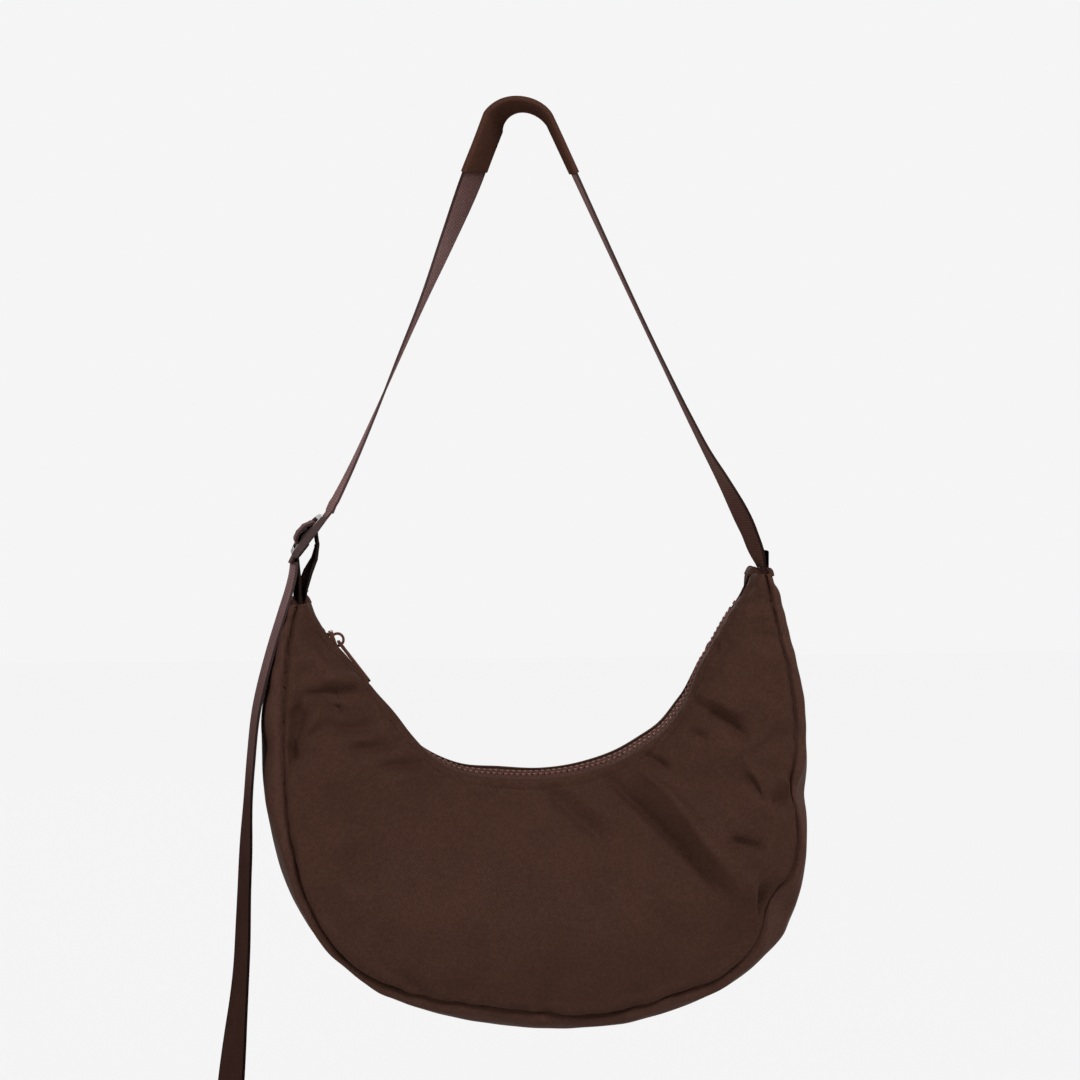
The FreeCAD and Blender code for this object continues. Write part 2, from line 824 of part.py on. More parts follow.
# Sleeve of bag fabric around the strap where it rests on the shoulder
room_w, room_t = webbing_width + 2 * thread_gap, webbing + 2 * thread_gap
outside = strap_shape(room_w + 2 * sleeve_wall, room_t + 2 * sleeve_wall)
reach = 2 * (sleeve_drop + shoulder_radius + webbing_width)
kept = Part.makeBox(2 * reach, 2 * reach, reach)
kept.translate(FreeCAD.Vector(-reach, -reach, 0))
kept.rotate(ORIGIN, X, sleeve_slant)
kept.translate(FreeCAD.Vector(0, 0, -sleeve_drop))
nodes["shoulder_sleeve"] = outside.common(kept).cut(strap_shape(room_w, room_t))

# Loop at the left tip: webbing sewn to the tip at both ends, around the buckle's centre bar
foot_half = webbing / 2 + seam_gap / 2
bow = (buckle_offset + loop_bow, buckle_rise - loop_bow_drop)
loop_points = [
    (-foot_half, loop_seat),
    (-foot_half, 0.3 * buckle_rise),
    (loop_spread - foot_half, 0.62 * buckle_rise),
    buckle_to_tip(-loop_u, -2.2 * buckle_thickness / 2),
    buckle_to_tip(-loop_u, over_bar),
    buckle_to_tip(loop_u, over_bar),
    buckle_to_tip(loop_u, -2.2 * buckle_thickness / 2),
    bow,
    (foot_half, 0.3 * buckle_rise),
    (foot_half, loop_seat),
]
nodes["strap_loop"] = strip_face(loop_points, webbing, webbing, web_edge).extrude(
    bar_direction * webbing_width
)

# Tail: the free end of the strap hanging from the buckle, down past the bag
hinge_gap = webbing / 2 + seam_gap
tail_root = in_buckle(-exit_u - hinge_gap, under)
bag_side = -bag_half_width + mouth_centre_x
tail_marks = [(0.0, tail_root.x - bag_side)]
tail_marks += [(0.075, 14.2), (0.15, 7.6), (0.225, 2.3), (0.3, -1.5), (0.45, -5.3), (0.62, -8.7)]
tail_marks += [(0.8, -15.4), (1.0, -21.0)]
tail_curve = Part.BSplineCurve()
tail_curve.interpolate(
    [FreeCAD.Vector(bag_side + dx, tail_root.y, tail_root.z - f * tail_drop) for f, dx in tail_marks]
)
tail_stations = []
for i in range(15):
    share = i / 14
    where = tail_curve.FirstParameter + share * (tail_curve.LastParameter - tail_curve.FirstParameter)
    down = tail_curve.tangent(where)[0]
    out = FreeCAD.Vector(down.z, 0, -down.x)
    out.normalize()
    twist = -buckle_yaw + (tail_twist + buckle_yaw) * share ** 2
    tail_stations.append((tail_curve.value(where), down, near_edge(out, twist)))
nodes["strap_tail"] = ribbon(tail_stations, webbing_width, webbing)

# Side tab: a small folded loop of tape sewn in beside the strap at the right tip
tab_out = 3 * webbing / 2 + sewn_gap + tab_stand
tab_foot = tip_right + X * tab_out + Z * sewn_gap


def tab_point(x, z):
    return tab_foot + FreeCAD.Vector(x, -tab_width / 2, z)


tab_points = [
    (-tab_fold, 0),
    (-tab_fold, tab_height),
    (tab_fold, tab_height),
    (tab_fold, 0),
]
tab_bend = 0.95 * tab_fold
nodes["side_tab"] = strip_face(tab_points, tab_bend, tab_tape, tab_point).extrude(Y * tab_width)

os.makedirs("parts", exist_ok=True)
for name, shape in nodes.items():
    shape.exportStep(os.path.join("parts", name + ".step"))
    print(name, shape.ShapeType, shape.isValid(), len(shape.Solids), round(shape.Volume))
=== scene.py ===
import math

import bmesh
import bpy
import numpy as np
from mathutils import Matrix, Vector


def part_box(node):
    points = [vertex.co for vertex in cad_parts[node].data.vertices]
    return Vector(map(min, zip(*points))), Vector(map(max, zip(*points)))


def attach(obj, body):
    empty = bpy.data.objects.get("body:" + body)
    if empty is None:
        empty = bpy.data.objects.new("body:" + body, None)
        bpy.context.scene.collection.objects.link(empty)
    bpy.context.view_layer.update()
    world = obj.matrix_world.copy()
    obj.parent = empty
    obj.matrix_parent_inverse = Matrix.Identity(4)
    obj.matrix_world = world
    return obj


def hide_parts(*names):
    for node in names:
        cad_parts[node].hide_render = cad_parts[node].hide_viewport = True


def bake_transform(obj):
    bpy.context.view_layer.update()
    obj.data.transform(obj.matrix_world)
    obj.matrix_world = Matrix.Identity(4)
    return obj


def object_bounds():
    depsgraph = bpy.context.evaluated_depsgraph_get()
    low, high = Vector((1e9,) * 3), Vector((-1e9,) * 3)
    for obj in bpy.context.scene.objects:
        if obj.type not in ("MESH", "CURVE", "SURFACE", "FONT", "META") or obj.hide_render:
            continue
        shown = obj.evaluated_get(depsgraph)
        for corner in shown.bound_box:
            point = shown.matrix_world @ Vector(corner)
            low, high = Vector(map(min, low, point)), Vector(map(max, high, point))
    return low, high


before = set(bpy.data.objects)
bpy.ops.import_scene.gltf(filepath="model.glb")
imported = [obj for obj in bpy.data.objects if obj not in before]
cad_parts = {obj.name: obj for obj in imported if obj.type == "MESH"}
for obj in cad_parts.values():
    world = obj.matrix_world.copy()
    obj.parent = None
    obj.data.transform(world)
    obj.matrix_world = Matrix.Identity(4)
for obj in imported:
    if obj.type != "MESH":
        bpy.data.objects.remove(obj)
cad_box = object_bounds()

# Camera
# The bag hangs free in front of a pale wall. It is seen from about 1.3 m away, a little to the left of its
# front and slightly above its middle.
scene = bpy.context.scene
scene.view_settings.view_transform = "Standard"
look_at = Vector((0.0118, 0.0, -0.2677))
view_left = math.radians(7)
view_up = math.radians(2)
view_distance = 1.3
frame_side = 0.6696
sight = Vector((
    -math.sin(view_left) * math.cos(view_up),
    -math.cos(view_left) * math.cos(view_up),
    math.sin(view_up),
))
camera_data = bpy.data.cameras.new("camera")
camera_data.sensor_fit = "HORIZONTAL"
camera_data.sensor_width = 36
camera_data.lens = camera_data.sensor_width * view_distance / frame_side
camera = bpy.data.objects.new("camera", camera_data)
camera.location = look_at + sight * view_distance
camera.rotation_euler = (-sight).to_track_quat("-Z", "Y").to_euler()
scene.collection.objects.link(camera)
scene.camera = camera


# Studio
# A pale floor under the hanging bag and a pale surround, lit by large soft lamps: a key from above the front,
# weaker ones from both sides and the back, and an even light from all round.
class Shade:
    """One value of a material. Arithmetic on it adds Math nodes to that material."""

    def __init__(self, tree, socket=None):
        self.tree = tree
        self.socket = socket

    def node(self, kind, inputs=None, output=0, **settings):
        """Adds a node: its settings first, then the values or links of its sockets."""
        made = self.tree.nodes.new(kind)
        for name, value in settings.items():
            setattr(made, name, value)
        for name, value in (inputs or {}).items():
            if isinstance(value, Shade):
                self.tree.links.new(value.socket, made.inputs[name])
            else:
                made.inputs[name].default_value = value
        return Shade(self.tree, made.outputs[output] if len(made.outputs) else None)

    def math(self, operation, first, second=0.0):
        return self.node("ShaderNodeMath", {0: first, 1: second}, operation=operation)

    def __add__(self, other):
        return self.math("ADD", self, other)

    __radd__ = __add__

    def __sub__(self, other):
        return self.math("SUBTRACT", self, other)

    def __rsub__(self, other):
        return self.math("SUBTRACT", other, self)

    def __mul__(self, other):
        return self.math("MULTIPLY", self, other)

    __rmul__ = __mul__

    def wave(self, pitch):
        """Sine wave over this value, with one crest in each pitch."""
        return self.math("SINE", self * (2 * math.pi / pitch))

    def part(self, axis):
        return self.node("ShaderNodeSeparateXYZ", {0: self}, output=axis)

    def place(self, kind="Object"):
        return self.node("ShaderNodeTexCoord", output=kind)

    def noise(self, vector, scale, detail=2.0, **more):
        return self.node("ShaderNodeTexNoise", {"Vector": vector, "Scale": scale, "Detail": detail, **more})

    def mix(self, share, first, second):
        """Colour between two colours."""
        return self.node("ShaderNodeMix", {0: share, 6: first, 7: second}, output=2, data_type="RGBA")

    def bump(self, height, strength, distance):
        return self.node("ShaderNodeBump", {"Height": height, "Strength": strength, "Distance": distance})

    def skin(self, inputs):
        """Closes a material with a Principled surface."""
        surface = self.node("ShaderNodeBsdfPrincipled", inputs)
        self.node("ShaderNodeOutputMaterial", {"Surface": surface})


def linear(*shade):
    """A colour given as screen values from 0 to 255, as the linear colour a socket takes."""
    parts = [c / 255 for c in shade]
    return [c / 12.92 if c <= 0.04045 else ((c + 0.055) / 1.055) ** 2.4 for c in parts] + [1.0]


def seen_directly(shade):
    """1 where the camera, a reflection or a view through glass looks at the surround."""
    kinds = ("Is Camera Ray", "Is Glossy Ray", "Is Transmission Ray")
    rays = [shade.node("ShaderNodeLightPath", output=kind) for kind in kinds]
    return rays[0].math("MINIMUM", rays[0] + rays[1] + rays[2], 1.0)


pale = linear(245, 245, 245)
room_light = 0.14
world = bpy.data.worlds.new("studio")
scene.world = world
world.use_nodes = True
world.node_tree.nodes.clear()
room = Shade(world.node_tree)
room_colour = room.mix(seen_directly(room), (room_light, room_light, room_light, 1), pale)
surround = room.node("ShaderNodeBackground", {"Color": room_colour})
room.node("ShaderNodeOutputWorld", {"Surface": surround})


def new_finish(name):
    """A material with no nodes yet, and the shade that fills it."""
    material = bpy.data.materials.new(name)
    material.use_nodes = True
    material.node_tree.nodes.clear()
    return material, Shade(material.node_tree)


def added(primitive, **settings):
    """A new primitive, with nothing else selected."""
    bpy.ops.object.select_all(action="DESELECT")
    primitive(**settings)
    return bpy.context.object


floor_side = 8
floor_drop = 0.02
floor_plain_share = 0.985
floor_place = (0, 0, cad_box[0][2] - floor_drop)
floor = added(bpy.ops.mesh.primitive_plane_add, size=floor_side, location=floor_place)
floor.name = "studio_floor"
floor_paint, ground = new_finish("floor_paint")
ground_look = ground.node(
    "ShaderNodeMixShader",
    {
        0: seen_directly(ground) * floor_plain_share,
        1: ground.node("ShaderNodeBsdfDiffuse", {"Color": linear(235, 235, 235)}),
        2: ground.node("ShaderNodeEmission", {"Color": pale}),
    },
)
ground.node("ShaderNodeOutputMaterial", {"Surface": ground_look})
floor.data.materials.append(floor_paint)

bag_middle = Vector((0.0, 0.0, -0.33))
for name, place, side, power in (
    ("key_lamp", (0.45, -1.25, 0.85), 0.7, 19),
    ("left_lamp", (-1.7, -1.0, 0.2), 1.0, 14),
    ("right_lamp", (1.8, -0.4, 0.3), 1.0, 8),
    ("back_lamp", (-0.5, 1.9, 0.6), 1.2, 14),
):
    lamp = bpy.data.lights.new(name, "AREA")
    lamp.size = side
    lamp.energy = power
    holder = bpy.data.objects.new(name, lamp)
    holder.location = place
    holder.rotation_euler = (bag_middle - Vector(place)).to_track_quat("-Z", "Y").to_euler()
    scene.collection.objects.link(holder)


# Front panel
# One crescent of brown nylon twill. Its upper edge is turned over the zip tape and topstitched, its lower
# edge is sewn to the gusset, and the easy cut swells, puckers and creases between the two.
mouth_centre = (0.0058, -0.2857)
hang_tilt = math.radians(3.3)
mouth_half_angle = 79.0
tip_angle = 85.0
panel_end_angle = tip_angle + 0.5
bag_half_width = 0.169
tip_half_span = 0.151
widest_drop = 0.120
tip_drop = 0.0132
belly_height = 0.166
belly_power = 2.5
tip_taper = 2.5
outline_search = (0.05, 0.40)
gusset_width = 0.072
tip_depth = 0.041
gusset_crown = 0.0155
tip_crown = 0.005
mouth_half_width = 0.009
lip_height = 0.0016
lip_turn = 0.006
panel_swell = 0.013
panel_height = 0.135
fabric = 0.0012
seam_groove = 0.0034
groove_width = 0.0019
seam_roll, roll_inset, roll_width = 0.0011, 0.006, 0.004
gather_height, gather_reach, gather_start = 0.0011, 0.013, 0.003
back_wander = 0.3
seam_calm = (74, 83)
stitch_inset = 0.0066
stitch_dent, dent_width = 0.0004, 0.0009
sewn_edge, held_lip = 0.001, 0.10
outline_sags = (
    (30, 13, 0.0075), (-24, 19, -0.009), (48, 11, -0.0066), (32.5, 3, 0.0050), (22, 10, -0.0026),
    (-8, 12, -0.0022), (71, 13, -0.0042), (-62, 10, 0.0026),
)
front_seam_sags = (
    (-62, 9, -0.0030), (-29, 13, 0.0085), (4, 9, 0.004), (20, 5, 0.003), (32.3, 3.6, -0.0150),
    (46, 3.5, -0.0055),
)
panel_rows = (150, 56)
row_spacing = 1.35
fold_depth = 2.7
zip_line = (
    (-86, 139.0), (-82, 137.0), (-78, 134.2), (-74, 131.4), (-70, 129.0), (-64, 127.4), (-56, 127.2),
    (-48, 127.0), (-40, 128.6), (-32, 130.6), (-23, 131.2), (-12, 128.4), (0, 127.8), (12, 128.6),
    (22, 129.6), (30, 129.6), (37, 130.0), (44, 127.8), (48, 126.6), (53, 123.8), (58, 122.4),
    (63, 123.4), (68, 124.8), (73.5, 128.0), (78, 132.4), (82, 136.8), (86, 140.6),
)
front_leans = (
    (-86, 0), (-76, 0), (-68, -12), (-60, -22), (-48, -24), (-38, -8), (-28, 10), (-14, 17), (20, 16),
    (36, 8), (46, 3), (56, 0), (66, 0), (78, 0), (86, 0),
)
back_leans = (
    (-86, 0), (-70, -6), (-50, -12), (-36, -4), (-24, 4), (-12, 10), (0, 5), (20, 6), (36, 4), (46, 0),
    (54, -10), (64, -15), (74, -18), (80, -18), (86, -8),
)


def bumps(angle, marks):
    """Sum of soft bumps of (angle, spread, height) along the bag's edge."""
    return sum(height * np.exp(-(((angle - at) / spread) ** 2)) for at, spread, height in marks)


def drawn(marks, at):
    """Value of a smooth line through (place, value) marks."""
    marks = np.array(marks, dtype=float)
    slopes = np.gradient(marks[:, 1], marks[:, 0])
    k = np.clip(np.searchsorted(marks[:, 0], at, side="right") - 1, 0, len(marks) - 2)
    step = marks[k + 1, 0] - marks[k, 0]
    u = np.clip((at - marks[k, 0]) / step, 0, 1)
    rest = 1 - u
    return (
        (1 + 2 * u) * rest ** 2 * marks[k, 1] + u * rest ** 2 * step * slopes[k]
        + (1 + 2 * rest) * u ** 2 * marks[k + 1, 1] - rest * u ** 2 * step * slopes[k + 1]
    )


def smooth(value, start, end):
    share = np.clip((value - start) / (end - start), 0, 1)
    return share * share * (3 - 2 * share)


def hung(radius, angle, depth):
    """Points at a radius and an angle from straight down about the mouth centre, as the bag hangs."""
    turn = np.radians(angle)
    x = radius * np.sin(turn)
    z = -radius * np.cos(turn)
    depth = np.broadcast_to(depth, x.shape)
    across = x * math.cos(hang_tilt) - z * math.sin(hang_tilt) + mouth_centre[0]
    up = x * math.sin(hang_tilt) + z * math.cos(hang_tilt) + mouth_centre[1]
    return np.stack([across, depth, up], axis=-1)


def half_width_at(level):
    """Half width of the outline at a level below the mouth centre: full belly, drawn-in shoulders."""
    below = np.clip((-widest_drop - level) / belly_height, 0, 1)
    belly = bag_half_width * (1 - below ** belly_power) ** (1 / belly_power)
    rise = np.clip((level + widest_drop) / (widest_drop - tip_drop), 0, 1.2)
    shoulder = bag_half_width - (bag_half_width - tip_half_span) * rise ** 2
    return np.where(level < -widest_drop, belly, shoulder)


def outer_radius(angle):
    """Radius of the bag's outline, found by halving."""
    turn = np.radians(np.abs(angle))
    low, high = (np.full(np.shape(angle), radius) for radius in outline_search)
    for _ in range(40):
        middle = (low + high) / 2
        outside = middle * np.sin(turn) >= half_width_at(-middle * np.cos(turn))
        high = np.where(outside, middle, high)
        low = np.where(outside, low, middle)
    return (low + high) / 2 + bumps(angle, outline_sags)


def share_to_tip(angle):
    return np.clip(np.abs(angle) / tip_angle, 0, 1) ** tip_taper


def half_depth(angle):
    return (gusset_width + (tip_depth - gusset_width) * share_to_tip(angle)) / 2


def seam_radius(angle, side):
    """Radius of the seam between a panel and the gusset. The back seam wanders less."""
    crown = gusset_crown + (tip_crown - gusset_crown) * share_to_tip(angle)
    wander = bumps(angle, front_seam_sags) * (1.0 if side < 0 else back_wander)
    ends = 1 - smooth(np.abs(angle), *seam_calm)
    return outer_radius(angle) - crown + wander * ends


def past_mouth(angle):
    return np.clip((np.abs(angle) - mouth_half_angle) / (tip_angle - mouth_half_angle), 0, 1) ** 2


def zip_section(angle, across, up):
    """Radius and depth of a point across the zip and above it. Each half of the zip leans in its own way."""
    leans = drawn(front_leans, angle), drawn(back_leans, angle)
    lean = np.radians(np.where(np.asarray(across) < 0, *leans))
    radius = drawn(zip_line, angle) / 1000 - across * np.sin(lean) - up * np.cos(lean)
    return radius, across * np.cos(lean) - up * np.sin(lean)


def bezier(poles, share):
    """Both coordinates of the points at a share of a curve, which a few poles draw."""
    degree = len(poles) - 1
    first, second = 0, 0
    for k, pole in enumerate(poles):
        weight = math.comb(degree, k) * share ** k * (1 - share) ** (degree - k)
        first = first + weight * pole[0]
        second = second + weight * pole[1]
    return first, second


def panel_place(angle, share, side):
    """Point of a panel from its lip over the zip (0) to its seam (1)."""
    depth = half_depth(angle)
    inner = mouth_half_width + (tip_depth / 8 - mouth_half_width) * past_mouth(angle)
    turn = np.minimum(lip_turn, (depth - inner) / 4)
    lip = [zip_section(angle, side * (inner + k * turn), lip_height) for k in (0, 0.7, 2.0)]
    seam = seam_radius(angle, side)
    top = lip[0][0]
    length = seam - top
    swell = panel_swell * length / panel_height
    rest = [
        (top + 0.27 * length, side * (depth + 0.4 * swell)),
        (top + 0.67 * length, side * (depth + swell)),
        (seam, side * depth),
    ]
    radius, across = bezier(lip + rest, share)
    return hung(radius, angle, across)


def points_of(piece):
    flat = np.empty(3 * len(piece.data.vertices))
    piece.data.vertices.foreach_get("co", flat)
    return flat.reshape(-1, 3)


def set_points(piece, points):
    piece.data.vertices.foreach_set("co", np.ascontiguousarray(points, dtype=float).ravel())
    piece.data.update()


def cloth_grid(name, along, across):
    """A flat grid to be laid out as a sheet, with each vertex's share along and across it."""
    bpy.ops.object.select_all(action="DESELECT")
    bpy.ops.mesh.primitive_grid_add(x_subdivisions=along, y_subdivisions=across, size=2)
    piece = bpy.context.object
    piece.name = name
    flat = points_of(piece)
    return piece, (flat[:, 0] + 1) / 2, (flat[:, 1] + 1) / 2


def apply_modifier(piece, kind, **settings):
    """Adds a modifier with its settings and applies it."""
    bpy.ops.object.select_all(action="DESELECT")
    piece.select_set(True)
    bpy.context.view_layer.objects.active = piece
    modifier = piece.modifiers.new(kind.lower(), kind)
    for name, value in settings.items():
        setattr(modifier, name, value)
    bpy.ops.object.modifier_apply(modifier=modifier.name)


def fill_out(piece, sewn, pressure, spare, most):
    """Swells a sheet in a short cloth run. Sewn vertices stay, and no other moves farther than most."""
    before = points_of(piece)
    group = piece.vertex_groups.new(name="sewn")
    group.add([int(i) for i in np.nonzero(sewn)[0]], 1.0, "REPLACE")
    bpy.context.view_layer.objects.active = piece
    cloth = piece.modifiers.new("cloth", "CLOTH")
    cloth.settings.quality = 6
    cloth.settings.mass = 0.2
    cloth.settings.tension_stiffness = 14
    cloth.settings.compression_stiffness = 14
    cloth.settings.shear_stiffness = 6
    cloth.settings.bending_stiffness = 0.4
    cloth.settings.use_pressure = True
    cloth.settings.uniform_pressure_force = pressure
    cloth.settings.shrink_min = -spare
    cloth.settings.vertex_group_mass = "sewn"
    cloth.settings.effector_weights.gravity = 0
    for step in range(1, 21):
        scene.frame_set(step)
    bpy.ops.object.modifier_apply(modifier=cloth.name)
    scene.frame_set(1)
    moved = points_of(piece) - before
    size = np.maximum(np.linalg.norm(moved, axis=1, keepdims=True), 1e-9)
    set_points(piece, before + moved * (most * np.tanh(size / most) / size))
    piece.vertex_groups.clear()


def rows_of(piece, along, across):
    """Vertex numbers of a sheet as a table, along it and then across it."""
    loops = np.empty(len(piece.data.loops), dtype=np.int64)
    piece.data.loops.foreach_get("vertex_index", loops)
    marks = np.empty(2 * len(loops))
    piece.data.uv_layers[0].data.foreach_get("uv", marks)
    marks = marks.reshape(-1, 2)
    table = np.zeros((along + 1, across + 1), dtype=np.int64)
    table[np.rint(marks[:, 0] * along).astype(int), np.rint(marks[:, 1] * across).astype(int)] = loops
    return table


def refined(piece, along, across):
    """Smooths and halves the mesh of a sheet. Returns tables of its vertex numbers and points."""
    apply_modifier(piece, "SUBSURF", levels=1, render_levels=1, uv_smooth="NONE")
    table = rows_of(piece, 2 * along, 2 * across)
    return table, points_of(piece)[table]


def set_sheet(piece, table, sheet):
    points = points_of(piece)
    points[table] = sheet
    set_points(piece, points)


def facing(sheet):
    """Unit normals of a sheet given as a table of points."""
    normal = np.cross(np.gradient(sheet, axis=0), np.gradient(sheet, axis=1))
    return normal / np.maximum(np.linalg.norm(normal, axis=2, keepdims=True), 1e-12)


def fold(places, marks, rise, left, right):
    """Height of one fold along a curve of (x, z) marks, with its own width on each side of the curve."""
    line = np.stack(bezier(marks, np.linspace(0, 1, 24)), axis=-1)
    best = np.full(places.shape[:2], np.inf)
    signed = np.zeros(places.shape[:2])
    where = np.zeros(places.shape[:2])
    for k in range(len(line) - 1):
        step = line[k + 1] - line[k]
        away = places - line[k]
        share = np.clip((away @ step) / (step @ step), 0, 1)
        gap = away - share[..., None] * step
        distance = np.hypot(gap[..., 0], gap[..., 1])
        nearer = distance < best
        best = np.where(nearer, distance, best)
        turn = step[0] * away[..., 1] - step[1] * away[..., 0]
        signed = np.where(nearer, np.where(turn > 0, distance, -distance), signed)
        where = np.where(nearer, (k + share) / (len(line) - 1), where)
    width = np.where(signed > 0, left, right)
    ends = smooth(np.minimum(where, 1 - where), 0.0, 0.35)
    return rise * ends * np.exp(-(np.abs(signed / width) ** 1.35))


def unevenness(places):
    """Soft uneven hollows that worn fabric shows all over."""
    x, z = places[..., 0], places[..., 1]
    broad = np.sin(x / 0.0135 + 1.7 * np.sin(z / 0.021)) * np.sin(z / 0.0125 + 1.3 * np.sin(x / 0.026) + 0.8)
    fine = np.sin((x + 0.6 * z) / 0.0052 + 1.5 * np.sin(z / 0.0083)) * np.sin((z - 0.4 * x) / 0.0061)
    return 0.00042 * broad + 0.00010 * fine


def puckers(angle, phase):
    """Uneven gathers along a sewn edge."""
    return (
        np.sin(0.61 * angle + phase)
        + 0.7 * np.sin(0.93 * angle + 2.1 * phase + 0.9 * np.sin(0.11 * angle))
        + 0.5 * np.sin(1.57 * angle + 0.7)
    ) / 2.2


def seam_finish(sheet, angle, phase):
    """Distance of a sheet's points from its seam (last across), and the height of its roll and gathers."""
    steps = np.linalg.norm(np.diff(sheet, axis=1), axis=2)
    walks = np.cumsum(steps[:, ::-1], axis=1)[:, ::-1]
    from_seam = np.concatenate([walks, np.zeros((len(sheet), 1))], axis=1)
    gathers = puckers(angle, phase) * np.exp(-from_seam / gather_reach)
    gathers = gathers * (1 - np.exp(-from_seam / gather_start))
    roll = seam_roll * np.exp(-(((from_seam - roll_inset) / roll_width) ** 2))
    return from_seam, gather_height * gathers + roll


def twill(name, size=None, dark=(54, 36, 29), light=(79, 54, 45), shine=0.01):
    """Brown nylon twill: fine slanting ribs, a cloudy tone and a crinkled surface.

    size is the length and width of the cloth that a UV map covers. Without it the ribs lie on x and z.
    """
    material, cloth = new_finish(name)
    place = cloth.place()
    if size:
        flat = cloth.place("UV")
        along, across = flat.part("X") * size[0], flat.part("Y") * size[1]
    else:
        along, across = place.part("X"), place.part("Z")
    slant, rib_pitch, thread_pitch = 0.55, 0.00115, 0.00055
    ribs = (along * slant + across).wave(rib_pitch)
    threads = (along - across * 0.3).wave(thread_pitch)
    clouds = cloth.noise(place, 38.0, 5.0, Roughness=0.62)
    slubs = cloth.noise(place, 520.0)
    tone = 0.5 + (clouds - 0.5) * 0.5 + (slubs - 0.5) * 0.9 + ribs * 0.36 + threads * 0.16
    stretched = cloth.node("ShaderNodeVectorMath", {0: place, 1: (1.0, 1.0, 1.9)}, operation="MULTIPLY")
    crinkle = cloth.noise(stretched, 75.0, 4.0, Distortion=0.6)
    relief = ribs * 0.5 + threads * 0.2 + slubs * 0.8 + crinkle * 2.2
    cloth.skin({
        "Base Color": cloth.mix(tone, linear(*dark), linear(*light)),
        "Roughness": 0.5 + (clouds - 0.5) * 0.3,
        "Specular IOR Level": shine,
        "Normal": cloth.bump(relief, 0.5, 0.00012),
    })
    return material


def fix(piece, material, body, slot, *nodes):
    """Gives a piece its finish and fixes it to its body in place of its CAD nodes."""
    piece.data.materials.append(material)
    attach(piece, body)
    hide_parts(*nodes)


def finish_sheet(piece, material, body, slot, *nodes, thickness=fabric, offset=-1.0):
    """Gives a sheet its thickness and smooth faces, and fixes it."""
    apply_modifier(piece, "SOLIDIFY", thickness=thickness, offset=offset)
    piece.data.polygons.foreach_set("use_smooth", [True] * len(piece.data.polygons))
    fix(piece, material, body, slot, *nodes)


body_twill = twill("body_twill")


def sewn_panel(name, side, folds, phase):
    """A panel of the bag: laid out, swollen, creased and rolled over its seam. Returns it and its points."""
    piece, s, t = cloth_grid(name, *panel_rows)
    angle = panel_end_angle * (2 * s - 1) * side
    share = 1 - (1 - t) ** row_spacing
    set_points(piece, panel_place(angle, share, side))
    held = (t < held_lip) | (t > 1 - sewn_edge) | (np.abs(2 * s - 1) > 1 - 2 * sewn_edge)
    fill_out(piece, held, pressure=3.0, spare=0.03, most=0.006)
    table, sheet = refined(piece, *panel_rows)
    angles = panel_end_angle * (2 * np.linspace(0, 1, len(sheet))[:, None] - 1) * side
    places = sheet[..., [0, 2]]
    from_seam, height = seam_finish(sheet, angles, phase)
    from_lip = np.linalg.norm(sheet - sheet[:, :1], axis=2)
    free = smooth(from_seam, 0.0, 0.012) * smooth(from_lip, 0.003, 0.016)
    height = height + unevenness(places) * free
    drape = smooth(from_lip, 0.002, 0.012) * smooth(from_seam, 0.0005, 0.007)
    for marks, rise, left, right in folds:
        marks = [(x / 1000, z / 1000) for x, z in marks]
        height = height + fold(places, marks, fold_depth * rise / 1000, left / 1000, right / 1000) * drape
    height = height - stitch_dent * np.exp(-(((from_lip - stitch_inset) / dent_width) ** 2))
    sheet = sheet + facing(sheet) * height[..., None]
    sheet[..., 1] -= side * seam_groove * np.exp(-((from_seam / groove_width) ** 2))
    set_sheet(piece, table, sheet)
    return piece, sheet


